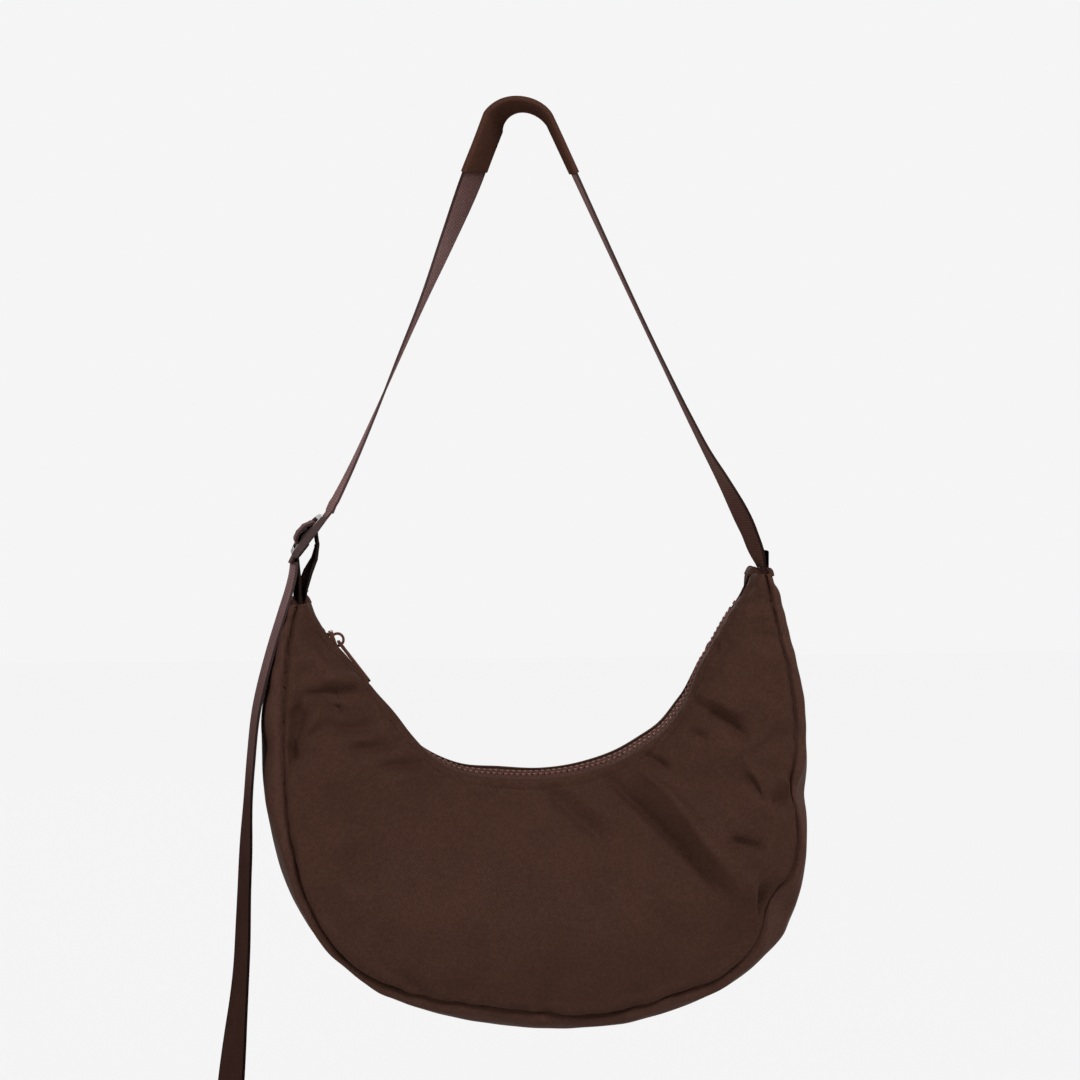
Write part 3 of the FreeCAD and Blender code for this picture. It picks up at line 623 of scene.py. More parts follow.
front_folds = (
    (((-141, -361), (-131, -358), (-121, -356), (-110, -358), (-98, -361)), -2.6, 4, 5),
    (((-128, -347), (-112, -352), (-97, -353)), 1.4, 5, 5),
    (((-123, -362), (-114, -367), (-106, -370)), -1.8, 3, 3),
    (((-121, -358), (-126, -372), (-136, -384), (-140, -398)), 2.6, 5, 5),
    (((-134, -356), (-139, -376), (-141, -392), (-144, -412)), -3.0, 5, 6),
    (((-128, -379), (-113, -376), (-96, -378), (-82, -381)), -2.6, 6, 6),
    (((-120, -386), (-104, -384), (-84, -387)), 1.2, 4, 4),
    (((-110, -394), (-98, -390), (-86, -389), (-66, -390)), -2.2, 4, 4),
    (((-94, -406), (-84, -402), (-75, -400), (-66, -402), (-56, -406)), -2.1, 4, 4),
    (((-86, -411), (-72, -408), (-54, -412)), 1.0, 4, 4),
    (((-40, -424), (-12, -436), (10, -432)), -1.0, 9, 9),
    (((6, -414), (24, -428), (42, -446), (56, -456)), -2.0, 7, 5),
    (((18, -412), (36, -426), (56, -446)), 1.2, 6, 6),
    (((44, -407), (56, -418), (78, -437), (99, -460), (119, -483), (129, -495)), -3.2, 6, 2.4),
    (((60, -402), (75, -410), (92, -422), (114, -452), (130, -482), (138, -497)), 4.0, 4.5, 10),
    (((112, -446), (124, -460), (135, -474), (138, -490)), 2.6, 4, 4),
    (((135, -466), (137, -484), (141, -500), (143, -514)), 1.6, 2.5, 3),
    (((140, -474), (147, -492), (148, -506), (144, -516)), -3.4, 5, 4),
    (((118, -450), (130, -451), (140, -454), (148, -459)), -2.4, 3.5, 3.5),
    (((100, -367), (120, -373), (132, -383), (139, -393)), -2.6, 3.5, 3.5),
    (((102, -361), (122, -366), (138, -378)), 1.3, 6, 6),
    (((98, -384), (106, -388), (114, -391)), -1.2, 3, 3),
    (((74, -399), (82, -404), (92, -410)), -1.7, 2.2, 2.6),
    (((133, -409), (141, -419), (151, -430)), -1.9, 2.2, 3),
    (((150, -411), (160, -417), (169, -423)), 2.4, 4, 4),
    (((148, -424), (158, -428), (167, -428)), -2.4, 4, 4),
    (((-80, -524), (-64, -542), (-44, -557)), -1.8, 5, 7),
    (((60, -486), (90, -500), (108, -522)), -1.0, 10, 9),
    (((-118, -440), (-106, -470), (-84, -492)), -1.0, 12, 10),
    (((-20, -470), (10, -486), (44, -480)), -0.8, 12, 12),
)
front_panel, front_sheet = sewn_panel("front_panel_twill", -1, front_folds, 0.4)
finish_sheet(front_panel, body_twill, "bag", "body_fabric", "front_panel")


# Back panel
# The same crescent of twill as the front, turned over the zip tape and sewn to the gusset in the same way. It
# has creases of its own.
back_folds = (
    (((118, -352), (104, -362), (92, -360)), -1.8, 5, 5),
    (((126, -366), (112, -382), (84, -388)), 2.0, 7, 6),
    (((-104, -360), (-118, -372), (-132, -390)), -1.8, 6, 5),
    (((-52, -410), (-82, -444), (-116, -476)), 2.2, 9, 5),
    (((-70, -412), (-92, -440), (-112, -458)), -1.9, 7, 7),
    (((22, -420), (48, -448), (60, -470)), -1.2, 9, 8),
    (((-30, -520), (-4, -534), (22, -530)), -1.0, 8, 8),
    (((96, -470), (110, -490), (126, -494)), -1.8, 6, 5),
)
back_panel, back_sheet = sewn_panel("back_panel_twill", 1, back_folds, 2.3)
finish_sheet(back_panel, body_twill, "bag", "body_fabric", "back_panel")


# Gusset
# One long strip of the same twill round the bag's edge, sewn between the two panels. Its edges roll over the
# seams, and it gathers where the outline turns.
gusset_rows = (150, 28)
gusset_length, gusset_girth = 0.62, 0.095
gusset_radius = 0.19
gusset_creases = (
    (-60, 2.0, -0.0022), (-66, 3.0, 0.0012), (-52, 4.0, 0.0010), (33, 1.6, -0.0020), (47, 1.8, -0.0014),
)


def gusset_place(angle, share):
    """Point of the gusset from the front seam (0) over the outline to the back seam (1)."""
    depth = half_depth(angle)
    outer = outer_radius(angle)
    halves = []
    for side in (-1, 1):
        seam = seam_radius(angle, side)
        rise = outer - seam
        halves.append([
            (seam, side * (depth - seam_groove)),
            (seam + 0.0006, side * (depth + 0.0012)),
            (seam + 0.45 * rise, side * (depth + 0.0026)),
            (seam + 1.22 * rise, side * 0.72 * depth),
        ])
    middle = (outer + 0.3 * (outer - (halves[0][0][0] + halves[1][0][0]) / 2), 0 * depth)
    radius, across = bezier(halves[0] + [middle] + halves[1][::-1], share)
    return hung(radius, angle, across)


gusset, s, t = cloth_grid("gusset_twill_painted_light", *gusset_rows)
set_points(gusset, gusset_place(panel_end_angle * (1 - 2 * s), t))
held = np.maximum(np.abs(2 * s - 1), np.abs(2 * t - 1)) > 1 - 2 * sewn_edge
fill_out(gusset, held, pressure=2.0, spare=0.02, most=0.002)
table, sheet = refined(gusset, *gusset_rows)
angles = panel_end_angle * (1 - 2 * np.linspace(0, 1, len(sheet))[:, None])
from_back, height = seam_finish(sheet, angles, 1.1)
from_front, front_height = seam_finish(sheet[:, ::-1], angles, 2.9)
height = height + front_height[:, ::-1]
from_front = from_front[:, ::-1]
middle_share = smooth(np.minimum(from_front, from_back), 0.002, 0.012)
spread = np.stack([np.radians(angles) * gusset_radius + 0 * sheet[..., 1], sheet[..., 1]], axis=-1)
height = height + unevenness(spread) * middle_share
front_share = smooth(-sheet[..., 1], -0.015, 0.02)
height = height + bumps(angles, gusset_creases) * front_share * middle_share
set_sheet(gusset, table, sheet + facing(sheet) * height[..., None])
# Painted light: the gusset's twill tones are lighter than the panels' to stand in for the brighter light that
# the strip round the edge catches.
gusset_twill_painted_light = twill("gusset_twill_painted_light", (gusset_length, gusset_girth), dark=(60, 41, 34), light=(88, 61, 52))
finish_sheet(gusset, gusset_twill_painted_light, "bag", "body_fabric", "gusset")


# Seam bindings
# Lining tape folded over the raw edges of the two gusset seams, inside the bag, and sewn down with them from
# one end of the mouth to the other.
binding_width = 0.009
binding_inset, binding_drop = 0.0052, 0.0035
binding_fold = 0.0011
binding_thickness = 0.0006


def lining(name):
    """Plain woven lining, a little darker than the outside."""
    material, cloth = new_finish(name)
    place = cloth.place()
    grain = cloth.noise(place, 900.0)
    clouds = cloth.noise(place, 40.0, 3.0)
    cloth.skin({
        "Base Color": cloth.mix(grain * 0.6 + clouds * 0.4, linear(48, 33, 27), linear(64, 46, 39)),
        "Roughness": 0.62,
        "Normal": cloth.bump(grain, 0.4, 0.0001),
    })
    return material


lining_cloth = lining("lining_cloth")
for name, side, node in (
    ("front_binding_tape", -1, "front_seam_binding"),
    ("back_binding_tape", 1, "back_seam_binding"),
):
    tape, s, t = cloth_grid(name, 110, 8)
    angle = mouth_half_angle * (2 * s - 1)
    width = binding_width * (1 - 0.5 * share_to_tip(angle))
    turned = np.abs(2 * t - 1)
    radius = seam_radius(angle, side) - binding_drop - width * turned
    half = binding_fold * np.sign(2 * t - 1) * np.minimum(1, 4 * turned)
    depth = half_depth(angle) - seam_groove - binding_inset + half
    set_points(tape, hung(radius, angle, side * depth))
    finish_sheet(tape, lining_cloth, "bag", "lining", node, thickness=binding_thickness, offset=0)


# Inner pocket
# An open slip pocket of lining inside the back panel, whose swell it follows. Its mouth is hemmed and its
# other edges are sewn down. Its mouth and height are shares of the panel's height above the seam.
pocket_half_angle = 26.0
pocket_mouth, pocket_height = 0.58, 0.44
pocket_gap, pocket_slack, pocket_hem = 0.0042, 0.0014, 0.0006
pocket_thickness = 0.0009
pocket, s, t = cloth_grid("slip_pocket", 60, 40)
column = (1 + pocket_half_angle * (2 * s - 1) / panel_end_angle) / 2 * (back_sheet.shape[0] - 1)
row = (1 - (pocket_mouth - pocket_height * t) ** (1 / row_spacing)) * (back_sheet.shape[1] - 1)
i, j = column.astype(int), row.astype(int)
p, q = (column - i)[:, None], (row - j)[:, None]
place = (back_sheet[i, j] * (1 - q) + back_sheet[i, j + 1] * q) * (1 - p)
place += (back_sheet[i + 1, j] * (1 - q) + back_sheet[i + 1, j + 1] * q) * p
slack = pocket_slack * np.sin(np.pi * s) * (1 - t)
place[:, 1] -= pocket_gap + slack + pocket_hem * smooth(t, 0.06, 0.05)
set_points(pocket, place)
finish_sheet(pocket, lining_cloth, "bag", "lining", "inner_pocket", thickness=pocket_thickness)


# Tip caps
# A small folded cap of twill closes each tip, where the panels, the gusset and the webbing are sewn together.
# It puffs up on both sides of the webbing.
tip_middle_radius = 0.14408
tip_half_width = 0.0075
cap_puff, cap_crease, crease_width = 2.1, 0.4, 0.35
cap_overhang = 1.04
cap_outline = ((-1, 0.30), (-0.4, 0.62), (0.4, 1.0), (0.8, 0.9), (1, 0.55))
for name, side, node in (("left_tip_cap", -1, "tip_cap_left"), ("right_tip_cap", 1, "tip_cap_right")):
    cap, s, t = cloth_grid(name, 28, 40)
    r = 2 * s - 1
    y = 2 * t - 1
    half = np.interp(r, *zip(*cap_outline)) * tip_depth / 2
    dome = (1 - r ** 6) * (1 - y ** 6)
    crease = cap_crease * np.exp(-((r / crease_width) ** 2))
    puff = dome * (1 - crease + 0.06 * np.sin(7 * y + 2 * r))
    angle = side * (tip_angle + 0.1 + cap_puff * puff)
    set_points(cap, hung(tip_middle_radius + cap_overhang * r * tip_half_width, angle, y * half * side))
    apply_modifier(cap, "SUBSURF", levels=1, render_levels=1, uv_smooth="NONE")
    finish_sheet(cap, body_twill, "bag", "body_fabric", node)


# Zip tapes
# Two woven tapes that carry the teeth along the curved mouth. Each is sewn under the turned lip of its panel
# and follows the soft mouth, except where the pull lies.
tape_thickness = 0.0008
tape_edge = 0.011
tooth_jaw = 0.0022
tape_length, tape_width = 0.335, 0.009
arc_radius, arc_shift, arc_drop = 0.1265, -0.0042, 0.0030
dip_end = (-52, -38)
dip_edge = (0.0045, 0.0090)


def zip_place(angle, across, up):
    """Point on the zip. Where the pull lies, its middle dips to the arc that the slider runs on."""
    turn = np.radians(angle)
    towards = arc_shift * np.sin(turn) + arc_drop * np.cos(turn)
    arc = towards + np.sqrt(arc_radius ** 2 - arc_shift ** 2 - arc_drop ** 2 + towards ** 2)
    dip = np.maximum(0, arc - drawn(zip_line, angle) / 1000) * (1 - smooth(angle, *dip_end))
    radius, depth = zip_section(angle, across, up - dip * (1 - smooth(np.abs(across), *dip_edge)))
    return hung(radius, angle, depth)


def woven_tape(name, size):
    """Reddish brown zip tape with a fine herringbone. size is the length and width that its UV map covers."""
    material, cloth = new_finish(name)
    bone_width, rib_pitch = 0.0022, 0.0009
    flat = cloth.place("UV")
    along, across = flat.part("X") * size[0], flat.part("Y") * size[1]
    bend = cloth.math("PINGPONG", across * (1 / bone_width), 1.0) * bone_width
    ribs = (along + bend).wave(rib_pitch)
    grain = cloth.noise(cloth.place(), 700.0)
    tone = 0.5 + ribs * 0.25 + (grain - 0.5) * 0.6
    cloth.skin({
        "Base Color": cloth.mix(tone, linear(66, 43, 36), linear(92, 62, 54)),
        "Roughness": 0.6,
        "Specular IOR Level": 0.02,
        "Normal": cloth.bump(ribs + grain, 0.5, 0.00008),
    })
    return material


tape_cloth = woven_tape("zip_tape_cloth", (tape_length, tape_width))
for name, side, node in (
    ("front_zip_tape", -1, "zipper_tape_front"),
    ("back_zip_tape", 1, "zipper_tape_back"),
):
    tape, s, t = cloth_grid(name, 180, 6)
    angle = mouth_half_angle * (2 * s - 1) * side
    set_points(tape, zip_place(angle, side * (tooth_jaw + (tape_edge - tooth_jaw) * t), tape_thickness / 2))
    finish_sheet(tape, tape_cloth, "bag", "zip_tape", node, thickness=tape_thickness)


# Zip teeth
# Moulded teeth clamped on the edge of each tape. Every tooth has two jaws, a narrow neck and a wider head
# that locks between two heads of the other row.
tooth_count = 93
first_tooth, last_tooth = -74.4, 76.0
tooth_height = 0.003
tooth_head = 0.0019
tooth_neck = 0.0012
tooth_reach = 0.0014
tooth_bevel = 0.00022
jaw_end = tooth_jaw + 0.001
jaw_length = jaw_end - tooth_jaw + 0.0003


def moulded(name, dark, light, roughness):
    """Satin plastic with a faintly uneven surface, for moulded pieces and for thread."""
    material, plastic = new_finish(name)
    speck = plastic.noise(plastic.place(), 300.0, 3.0)
    plastic.skin({
        "Base Color": plastic.mix(speck, dark, light),
        "Roughness": roughness + (speck - 0.5) * 0.2,
        "Specular IOR Level": 0.12,
        "Normal": plastic.bump(speck, 0.25, 0.0001),
    })
    return material


def pick_faces(piece, wanted):
    """Selects, in edit mode, the faces that wanted accepts by their middle and normal."""
    shape = bmesh.from_edit_mesh(piece.data)
    for face in shape.faces:
        face.select = wanted(face.calc_center_median(), face.normal)
    shape.select_flush_mode()
    bmesh.update_edit_mesh(piece.data)


tooth = added(bpy.ops.mesh.primitive_cube_add, size=1)
jaw_middle = (0, jaw_end - jaw_length / 2, 0)
set_points(tooth, points_of(tooth) * (tooth_head, jaw_length, tooth_height) - jaw_middle)
bpy.ops.object.mode_set(mode="EDIT")
pick_faces(tooth, lambda middle, normal: normal.y > 0.9)
narrow = tooth_neck / tooth_head
for reach, width, height in (
    (-tooth_jaw + 0.0008, narrow, 0.9),
    (0.0002, 1.0, 1.0),
    (0.0007, 1 / narrow, 1.0),
    (0.0011, 1.0, 1.0),
    (tooth_reach, narrow, 0.8),
):
    last = max(v.co.y for v in bmesh.from_edit_mesh(tooth.data).verts)
    bpy.ops.mesh.extrude_region_move(TRANSFORM_OT_translate={"value": (0, reach - last, 0)})
    bpy.ops.transform.resize(value=(width, 1, height), center_override=(0, 0, 0))
bpy.ops.object.mode_set(mode="OBJECT")
apply_modifier(
    tooth, "BEVEL", width=tooth_bevel, segments=1, limit_method="ANGLE", angle_limit=math.radians(50)
)


def place_on_zip(angle, side):
    """Matrix that sets a piece modelled along x, towards y and up z on the leaning zip."""
    ends = [zip_place(np.array(angle + turn), 0.0, 0.0) for turn in (-0.05, 0.05)]
    origin = (ends[0] + ends[1]) / 2
    along = Vector(ends[1] - ends[0]).normalized()
    over = Vector(zip_place(np.array(angle), 0.002, 0.0) - zip_place(np.array(angle), -0.002, 0.0))
    over = (over - along * over.dot(along)).normalized()
    up = along.cross(over)
    if side > 0:
        along, over = -along, -over
    return Matrix.Translation(origin) @ Matrix((along, over, up)).transposed().to_4x4()


def row_of(name, pattern, places):
    """Copies of one shape at each place, as one piece."""
    row = bmesh.new()
    for place in places:
        copy = pattern.data.copy()
        copy.transform(place)
        row.from_mesh(copy)
        bpy.data.meshes.remove(copy)
    mesh = bpy.data.meshes.new(name)
    row.to_mesh(mesh)
    row.free()
    piece = bpy.data.objects.new(name, mesh)
    scene.collection.objects.link(piece)
    return piece


def walked(line):
    """Distance along a line of points to each of them."""
    return np.concatenate([[0], np.cumsum(np.linalg.norm(np.diff(line, axis=0), axis=1))])


tooth_plastic = moulded("tooth_plastic", linear(96, 64, 55), linear(128, 91, 81), 0.5)
sweep = np.linspace(first_tooth, last_tooth, 1500)
walk = walked(zip_place(sweep, 0.0, 0.0))
for name, side, node in (
    ("front_zip_teeth", -1, "zipper_teeth_front"),
    ("back_zip_teeth", 1, "zipper_teeth_back"),
):
    share = (np.arange(tooth_count) + (0.5 if side > 0 else 0.0)) / tooth_count
    angles = np.interp(share * walk[-1], walk, sweep)
    row = row_of(name, tooth, [place_on_zip(angle, side) for angle in angles])
    fix(row, tooth_plastic, "bag", "zip_teeth", node)
bpy.data.objects.remove(tooth)


# Zip stops
# Moulded stops of the same plastic as the teeth: a clip on each tape before the slider, and a block across
# both tapes at the far end.
stop_length = 0.0024
stop_bevel = 0.0004
for name, node, angle, width, offsets in (
    ("top_stops", "zipper_top_stops", -77.2, 0.0027, (-0.00275, 0.00275)),
    ("bottom_stop", "zipper_bottom_stop", 77.0, 0.0036, (0.0,)),
):
    clip = added(bpy.ops.mesh.primitive_cube_add, size=1)
    set_points(clip, points_of(clip) * (stop_length, width, tooth_height))
    apply_modifier(clip, "BEVEL", width=stop_bevel, segments=2)
    places = [place_on_zip(angle, -1) @ Matrix.Translation((0, offset, 0)) for offset in offsets]
    stop = row_of(name, clip, places)
    bpy.data.objects.remove(clip)
    fix(stop, tooth_plastic, "bag", "zip_teeth", node)


# Zip slider
# Cast metal body with a bridge on top, painted brown to match the cloth, that rides on the teeth. It is the
# solid of the CAD part with its edges rounded off.
smooth_angle = math.radians(40)


def softened(name, node, width, segments=2, angle=35):
    """A copy of a CAD solid with its doubles merged and its edges rounded off."""
    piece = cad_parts[node].copy()
    piece.data = piece.data.copy()
    piece.name = name
    piece.parent = None
    piece.matrix_world = Matrix.Identity(4)
    scene.collection.objects.link(piece)
    piece.data.materials.clear()
    bpy.ops.object.select_all(action="DESELECT")
    piece.select_set(True)
    bpy.context.view_layer.objects.active = piece
    bpy.ops.object.mode_set(mode="EDIT")
    bpy.ops.mesh.select_all(action="SELECT")
    bpy.ops.mesh.remove_doubles(threshold=1e-6)
    bpy.ops.mesh.dissolve_limited(angle_limit=math.radians(1.5))
    bpy.ops.object.mode_set(mode="OBJECT")
    apply_modifier(
        piece, "BEVEL", width=width, segments=segments, limit_method="ANGLE", angle_limit=math.radians(angle)
    )
    bpy.ops.object.shade_smooth_by_angle(angle=smooth_angle)
    return piece


def enamel(name, dark, light, roughness):
    """Brown paint on metal, with clouds and faint specks."""
    material, paint = new_finish(name)
    place = paint.place()
    speck = paint.noise(place, 420.0, 4.0)
    wear = paint.noise(place, 90.0, 5.0, Roughness=0.7)
    paint.skin({
        "Base Color": paint.mix(wear * 0.7 + speck * 0.3, dark, light),
        "Roughness": roughness + (wear - 0.5) * 0.25,
        "Specular IOR Level": 0.06,
        "Coat Weight": 0.01,
        "Coat Roughness": 0.3,
        "Normal": paint.bump(speck, 0.15, 0.0001),
    })
    return material


zip_enamel = enamel("zip_enamel", linear(78, 48, 39), linear(104, 67, 56), 0.42)
slider = softened("slider_body", "zipper_slider", 0.00035)
fix(slider, zip_enamel, "slider", "hardware", "zipper_slider")


# Zip pull
# A slim cast tab in the same brown paint as the slider. Its cross bar hangs inside the slider's bridge, on
# which it turns.
pull = softened("pull_tab", "zipper_pull", 0.00045, segments=3)
fix(pull, zip_enamel, "pull", "hardware", "zipper_pull")


# Topstitching
# Rows of brown thread in one even pitch. They go through the turned lips and the zip tapes, and through the
# panels' edges at both tips.
stitch_pitch = 0.0034
seam_stitch_inset = 0.0042
stitch_step = 0.001
stitch_length = 0.0025
stitch_width = 0.00042


def stitch_places(sheet, away, inset, first, last):
    """Places of stitches on a sheet at one distance from its edge, between two of its columns."""
    normals = facing(sheet)
    line = []
    ups = []
    for i in range(first, last):
        k = max(1, int(np.argmax(away[i] > inset)))
        share = (inset - away[i, k - 1]) / (away[i, k] - away[i, k - 1])
        line.append(sheet[i, k - 1] * (1 - share) + sheet[i, k] * share)
        ups.append(normals[i, k])
    line, ups = np.array(line), np.array(ups)
    walk = walked(line)

    def between(values, at):
        return Vector([np.interp(at, walk, values[:, axis]) for axis in range(3)])

    places = []
    for at in np.arange(stitch_pitch, walk[-1] - stitch_pitch, stitch_pitch):
        before, after = between(line, at - stitch_step), between(line, at + stitch_step)
        along = (after - before).normalized()
        up = between(ups, at)
        up = (up - along * up.dot(along)).normalized()
        middle = (before + after) / 2 + up * (0.2 * stitch_width)
        places.append(Matrix.Translation(middle) @ Matrix((along, up.cross(along), up)).transposed().to_4x4())
    return places


stitch = added(bpy.ops.mesh.primitive_uv_sphere_add, segments=6, ring_count=4, radius=0.5)
set_points(stitch, points_of(stitch)[:, [2, 0, 1]] * (stitch_length, stitch_width, stitch_width))
thread = moulded("thread", linear(42, 27, 22), linear(62, 42, 35), 0.7)
for name, sheet in (("front_topstitch", front_sheet), ("back_topstitch", back_sheet)):
    columns = len(sheet)
    from_lip = np.linalg.norm(sheet - sheet[:, :1], axis=2)
    from_seam = np.linalg.norm(sheet - sheet[:, -1:], axis=2)
    places = stitch_places(sheet, from_lip, stitch_inset, 6, columns - 6)
    for first, last in ((2, columns // 12), (columns - columns // 12, columns - 2)):
        places += stitch_places(sheet[:, ::-1], from_seam[:, ::-1], seam_stitch_inset, first, last)
    row = row_of(name, stitch, places)
    row.data.materials.append(thread)
    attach(row, "bag")
bpy.data.objects.remove(stitch)


# Strap
# One length of flat ribbed webbing. It is sewn into the right tip, goes up over the shoulder and down to the
# buckle, and passes under, over and under the buckle's bars.
webbing_width = 0.038
webbing = 0.0014
webbing_columns = 10
shoulder_radius = 0.020
arch_level = -0.01815
right_base = np.array((0.149875, 0.0, -0.285754))
strap_foot = np.array((-0.117904, 0.001691, -0.249743))
buckle_yaw = math.radians(5)
bar_direction = np.array((-math.sin(buckle_yaw), math.cos(buckle_yaw), 0.0))
right_twists = (
    (0, -5), (0.03, 1), (0.07, 2.5), (0.1, 3.8), (0.135, 3), (0.17, 0.8), (0.2, -1), (0.267, -5),
    (0.335, -6.5), (1, -6),
)
right_bow = (
    (0, 2.0), (0.03, 3.2), (0.065, 4.2), (0.1, 4.5), (0.135, 4.4), (0.2, 3.3), (0.267, 1.6), (0.335, 0.8),
    (0.47, 0), (1, 0),
)
arch_twists = ((0, -6), (0.5, 1), (1, 21))
arch_inset = ((0, 0), (0.3, 1.4), (0.55, 1.9), (1, 1.5))
left_twists = (
    (0, 21), (0.065, 20.5), (0.14, 21), (0.3, 14.6), (0.45, 7), (0.61, 3.4), (0.76, 0.2), (0.92, -3),
    (1, -5),
)
left_bow = ((0, 1.5), (0.14, 2.4), (0.3, 3.0), (0.45, 3.3), (0.61, 3.0), (0.76, 2.8), (0.9, 1.8), (1, 0))
lead_in = 0.005
run_steps, arch_steps = 80, 30
threading_bend = 0.003
level_yaw = math.radians(1.5)
rib_pitch, thread_pitch = 0.0018, 0.0011
edge_shade_share = 0.47
over_y = np.array((0.0, 1.0, 0.0))


def touch_angle(point, side):
    """Angle at which a straight run from a point touches the round over the shoulder."""
    x, z = point[0], point[2] - arch_level
    return math.degrees(math.atan2(z, x) + side * math.acos(shoulder_radius / math.hypot(x, z)))


def outward_at(angle):
    return np.array((math.cos(math.radians(angle)), 0.0, math.sin(math.radians(angle))))


def on_arch(angle):
    return np.array((0.0, 0.0, arch_level)) + shoulder_radius * outward_at(angle)


def near_edge(outward, twist):
    """Direction of the webbing's front edge, turned outwards by a twist in degrees."""
    return outward * math.sin(math.radians(twist)) - over_y * math.cos(math.radians(twist))


right_touch = touch_angle(right_base, 1)
left_touch = touch_angle(strap_foot, -1) % 360
right_run = on_arch(right_touch) - right_base
left_top = on_arch(left_touch)
left_run = strap_foot - left_top
right_out = np.array((right_run[2], 0.0, -right_run[0])) / math.hypot(right_run[0], right_run[2])
left_out = np.array((left_run[2], 0.0, -left_run[0])) / math.hypot(left_run[0], left_run[2])


def right_station(share):
    """Point and front edge on the right run, which stands out a little above its sewn foot."""
    point = right_base + right_run * share + right_out * drawn(right_bow, share) / 1000
    return point, near_edge(right_out, drawn(right_twists, share))


def arch_station(share):
    angle = right_touch + (left_touch - right_touch) * share
    outward = outward_at(angle)
    point = on_arch(angle) - outward * drawn(arch_inset, share) / 1000
    return point, near_edge(outward, drawn(arch_twists, share))


def left_station(share):
    """Point and front edge on the left run, which bows inwards and turns square to the buckle's bars."""
    point = left_top + left_run * share - left_out * drawn(left_bow, share) / 1000
    return point, near_edge(left_out, drawn(left_twists, share))


def bent(points, bend, steps=5):
    """A line through points with each corner rounded off."""
    points = [np.array(p, dtype=float) for p in points]
    line = [points[0]]
    for before, corner, after in zip(points, points[1:], points[2:]):
        into = (corner - before) / np.linalg.norm(corner - before)
        out = (after - corner) / np.linalg.norm(after - corner)
        turn = math.acos(max(-1.0, min(1.0, float(into @ out))))
        cut = bend * math.tan(turn / 2)
        start, end = corner - into * cut, corner + out * cut
        for k in range(steps + 1):
            share = k / steps
            line.append(start * (1 - share) ** 2 + corner * 2 * share * (1 - share) + end * share ** 2)
    line.append(points[-1])
    return line


def ribbon(name, stations, width=webbing_width, thickness=webbing):
    """Webbing through stations of (point, direction of its front edge). Returns it and its length."""
    path = np.array([point for point, edge in stations])
    edges = np.array([edge for point, edge in stations])
    ahead = np.gradient(path, axis=0)
    ahead /= np.linalg.norm(ahead, axis=1, keepdims=True)
    edges = edges - ahead * np.sum(edges * ahead, axis=1, keepdims=True)
    edges /= np.linalg.norm(edges, axis=1, keepdims=True)
    piece, s, t = cloth_grid(name, len(path) - 1, webbing_columns)
    index = np.rint(s * (len(path) - 1)).astype(int)
    set_points(piece, path[index] + edges[index] * ((1 - 2 * t) * width / 2)[:, None])
    walk = walked(path)
    for mark in piece.data.uv_layers[0].data:
        mark.uv.x = walk[int(round(mark.uv.x * (len(path) - 1)))] / walk[-1]
    apply_modifier(piece, "SOLIDIFY", thickness=thickness, offset=0)
    bpy.ops.object.shade_smooth_by_angle(angle=smooth_angle)
    return piece, float(walk[-1])


def ribbed_webbing(name, length, tones, width=webbing_width):
    """Webbing with ribs across, threads along and painted shade on both edges. tones are (share of length,
    colour).
    """
    material, cloth = new_finish(name)
    flat, place = cloth.place("UV"), cloth.place()
    along, across = flat.part("X"), flat.part("Y")
    ribs = (along * length).wave(rib_pitch)
    threads = across.wave(thread_pitch / width)
    clouds = cloth.noise(place, 60.0, 4.0)
    fuzz = cloth.noise(place, 800.0)
    # Painted shade: a dark band along both edges of the webbing stands in for its shaded edges.
    edge = cloth.math("GREATER_THAN", cloth.math("ABSOLUTE", across - 0.5), edge_shade_share)
    tone = 0.5 + ribs * 0.15 + threads * 0.06 + (clouds - 0.5) * 0.4 + (fuzz - 0.5) * 0.2 - edge * 0.9
    # The ramp holds the webbing's colour along its length; for the strap, tail and loop it also paints their
    # light and shade.
    colour_and_painted_light = cloth.node("ShaderNodeValToRGB", {0: along})
    stops = colour_and_painted_light.socket.node.color_ramp.elements
    while len(stops) < len(tones):
        stops.new(1.0)
    for stop, (share, shade) in zip(stops, tones):
        stop.position = share
        stop.color = linear(*shade)
    depth = cloth.math("MAXIMUM", 0.5 + tone, 0.25)
    relief = ribs * 0.6 + threads * 0.25 + fuzz * 0.3
    cloth.skin({
        "Base Color": cloth.node("ShaderNodeVectorMath", {0: colour_and_painted_light, "Scale": depth}, operation="SCALE"),
        "Roughness": 0.62 + (fuzz - 0.5) * 0.2,
        "Specular IOR Level": 0.0,
        "Normal": cloth.bump(relief, 0.6, 0.00016),
    })
    return material


# Painted light and shade: these colours along the strap's length draw the one webbing lighter where its face
# catches the light and darker where it turns from it.
strap_painted_light_tones = (
    (0, (79, 54, 48)), (0.05, (79, 54, 47)), (0.08, (84, 58, 53)), (0.117, (97, 72, 64)),
    (0.155, (103, 78, 73)), (0.23, (112, 90, 87)), (0.3, (120, 95, 91)), (0.42, (124, 99, 96)),
    (0.54, (92, 66, 63)), (0.59, (99, 72, 69)), (0.63, (113, 86, 83)), (0.67, (130, 102, 99)),
    (0.75, (136, 107, 104)), (0.84, (150, 119, 117)), (0.92, (145, 113, 111)), (1, (100, 77, 75)),
)
lead_share = 1 - lead_in / float(np.linalg.norm(left_run))
threading = bent(
    [
        left_top + left_run * lead_share,
        strap_foot,
        (-0.12415, 0.00114, -0.25766),
        (-0.12800, 0.00081, -0.25600),
        (-0.13320, 0.00036, -0.25820),
        (-0.13710, 0.00003, -0.26220),
        (-0.13910, -0.00015, -0.26640),
        (-0.13710, 0.00003, -0.27120),
        (-0.14200, -0.00042, -0.28140),
    ],
    threading_bend,
)
stations = [right_station(k / run_steps) for k in range(-3, run_steps)]
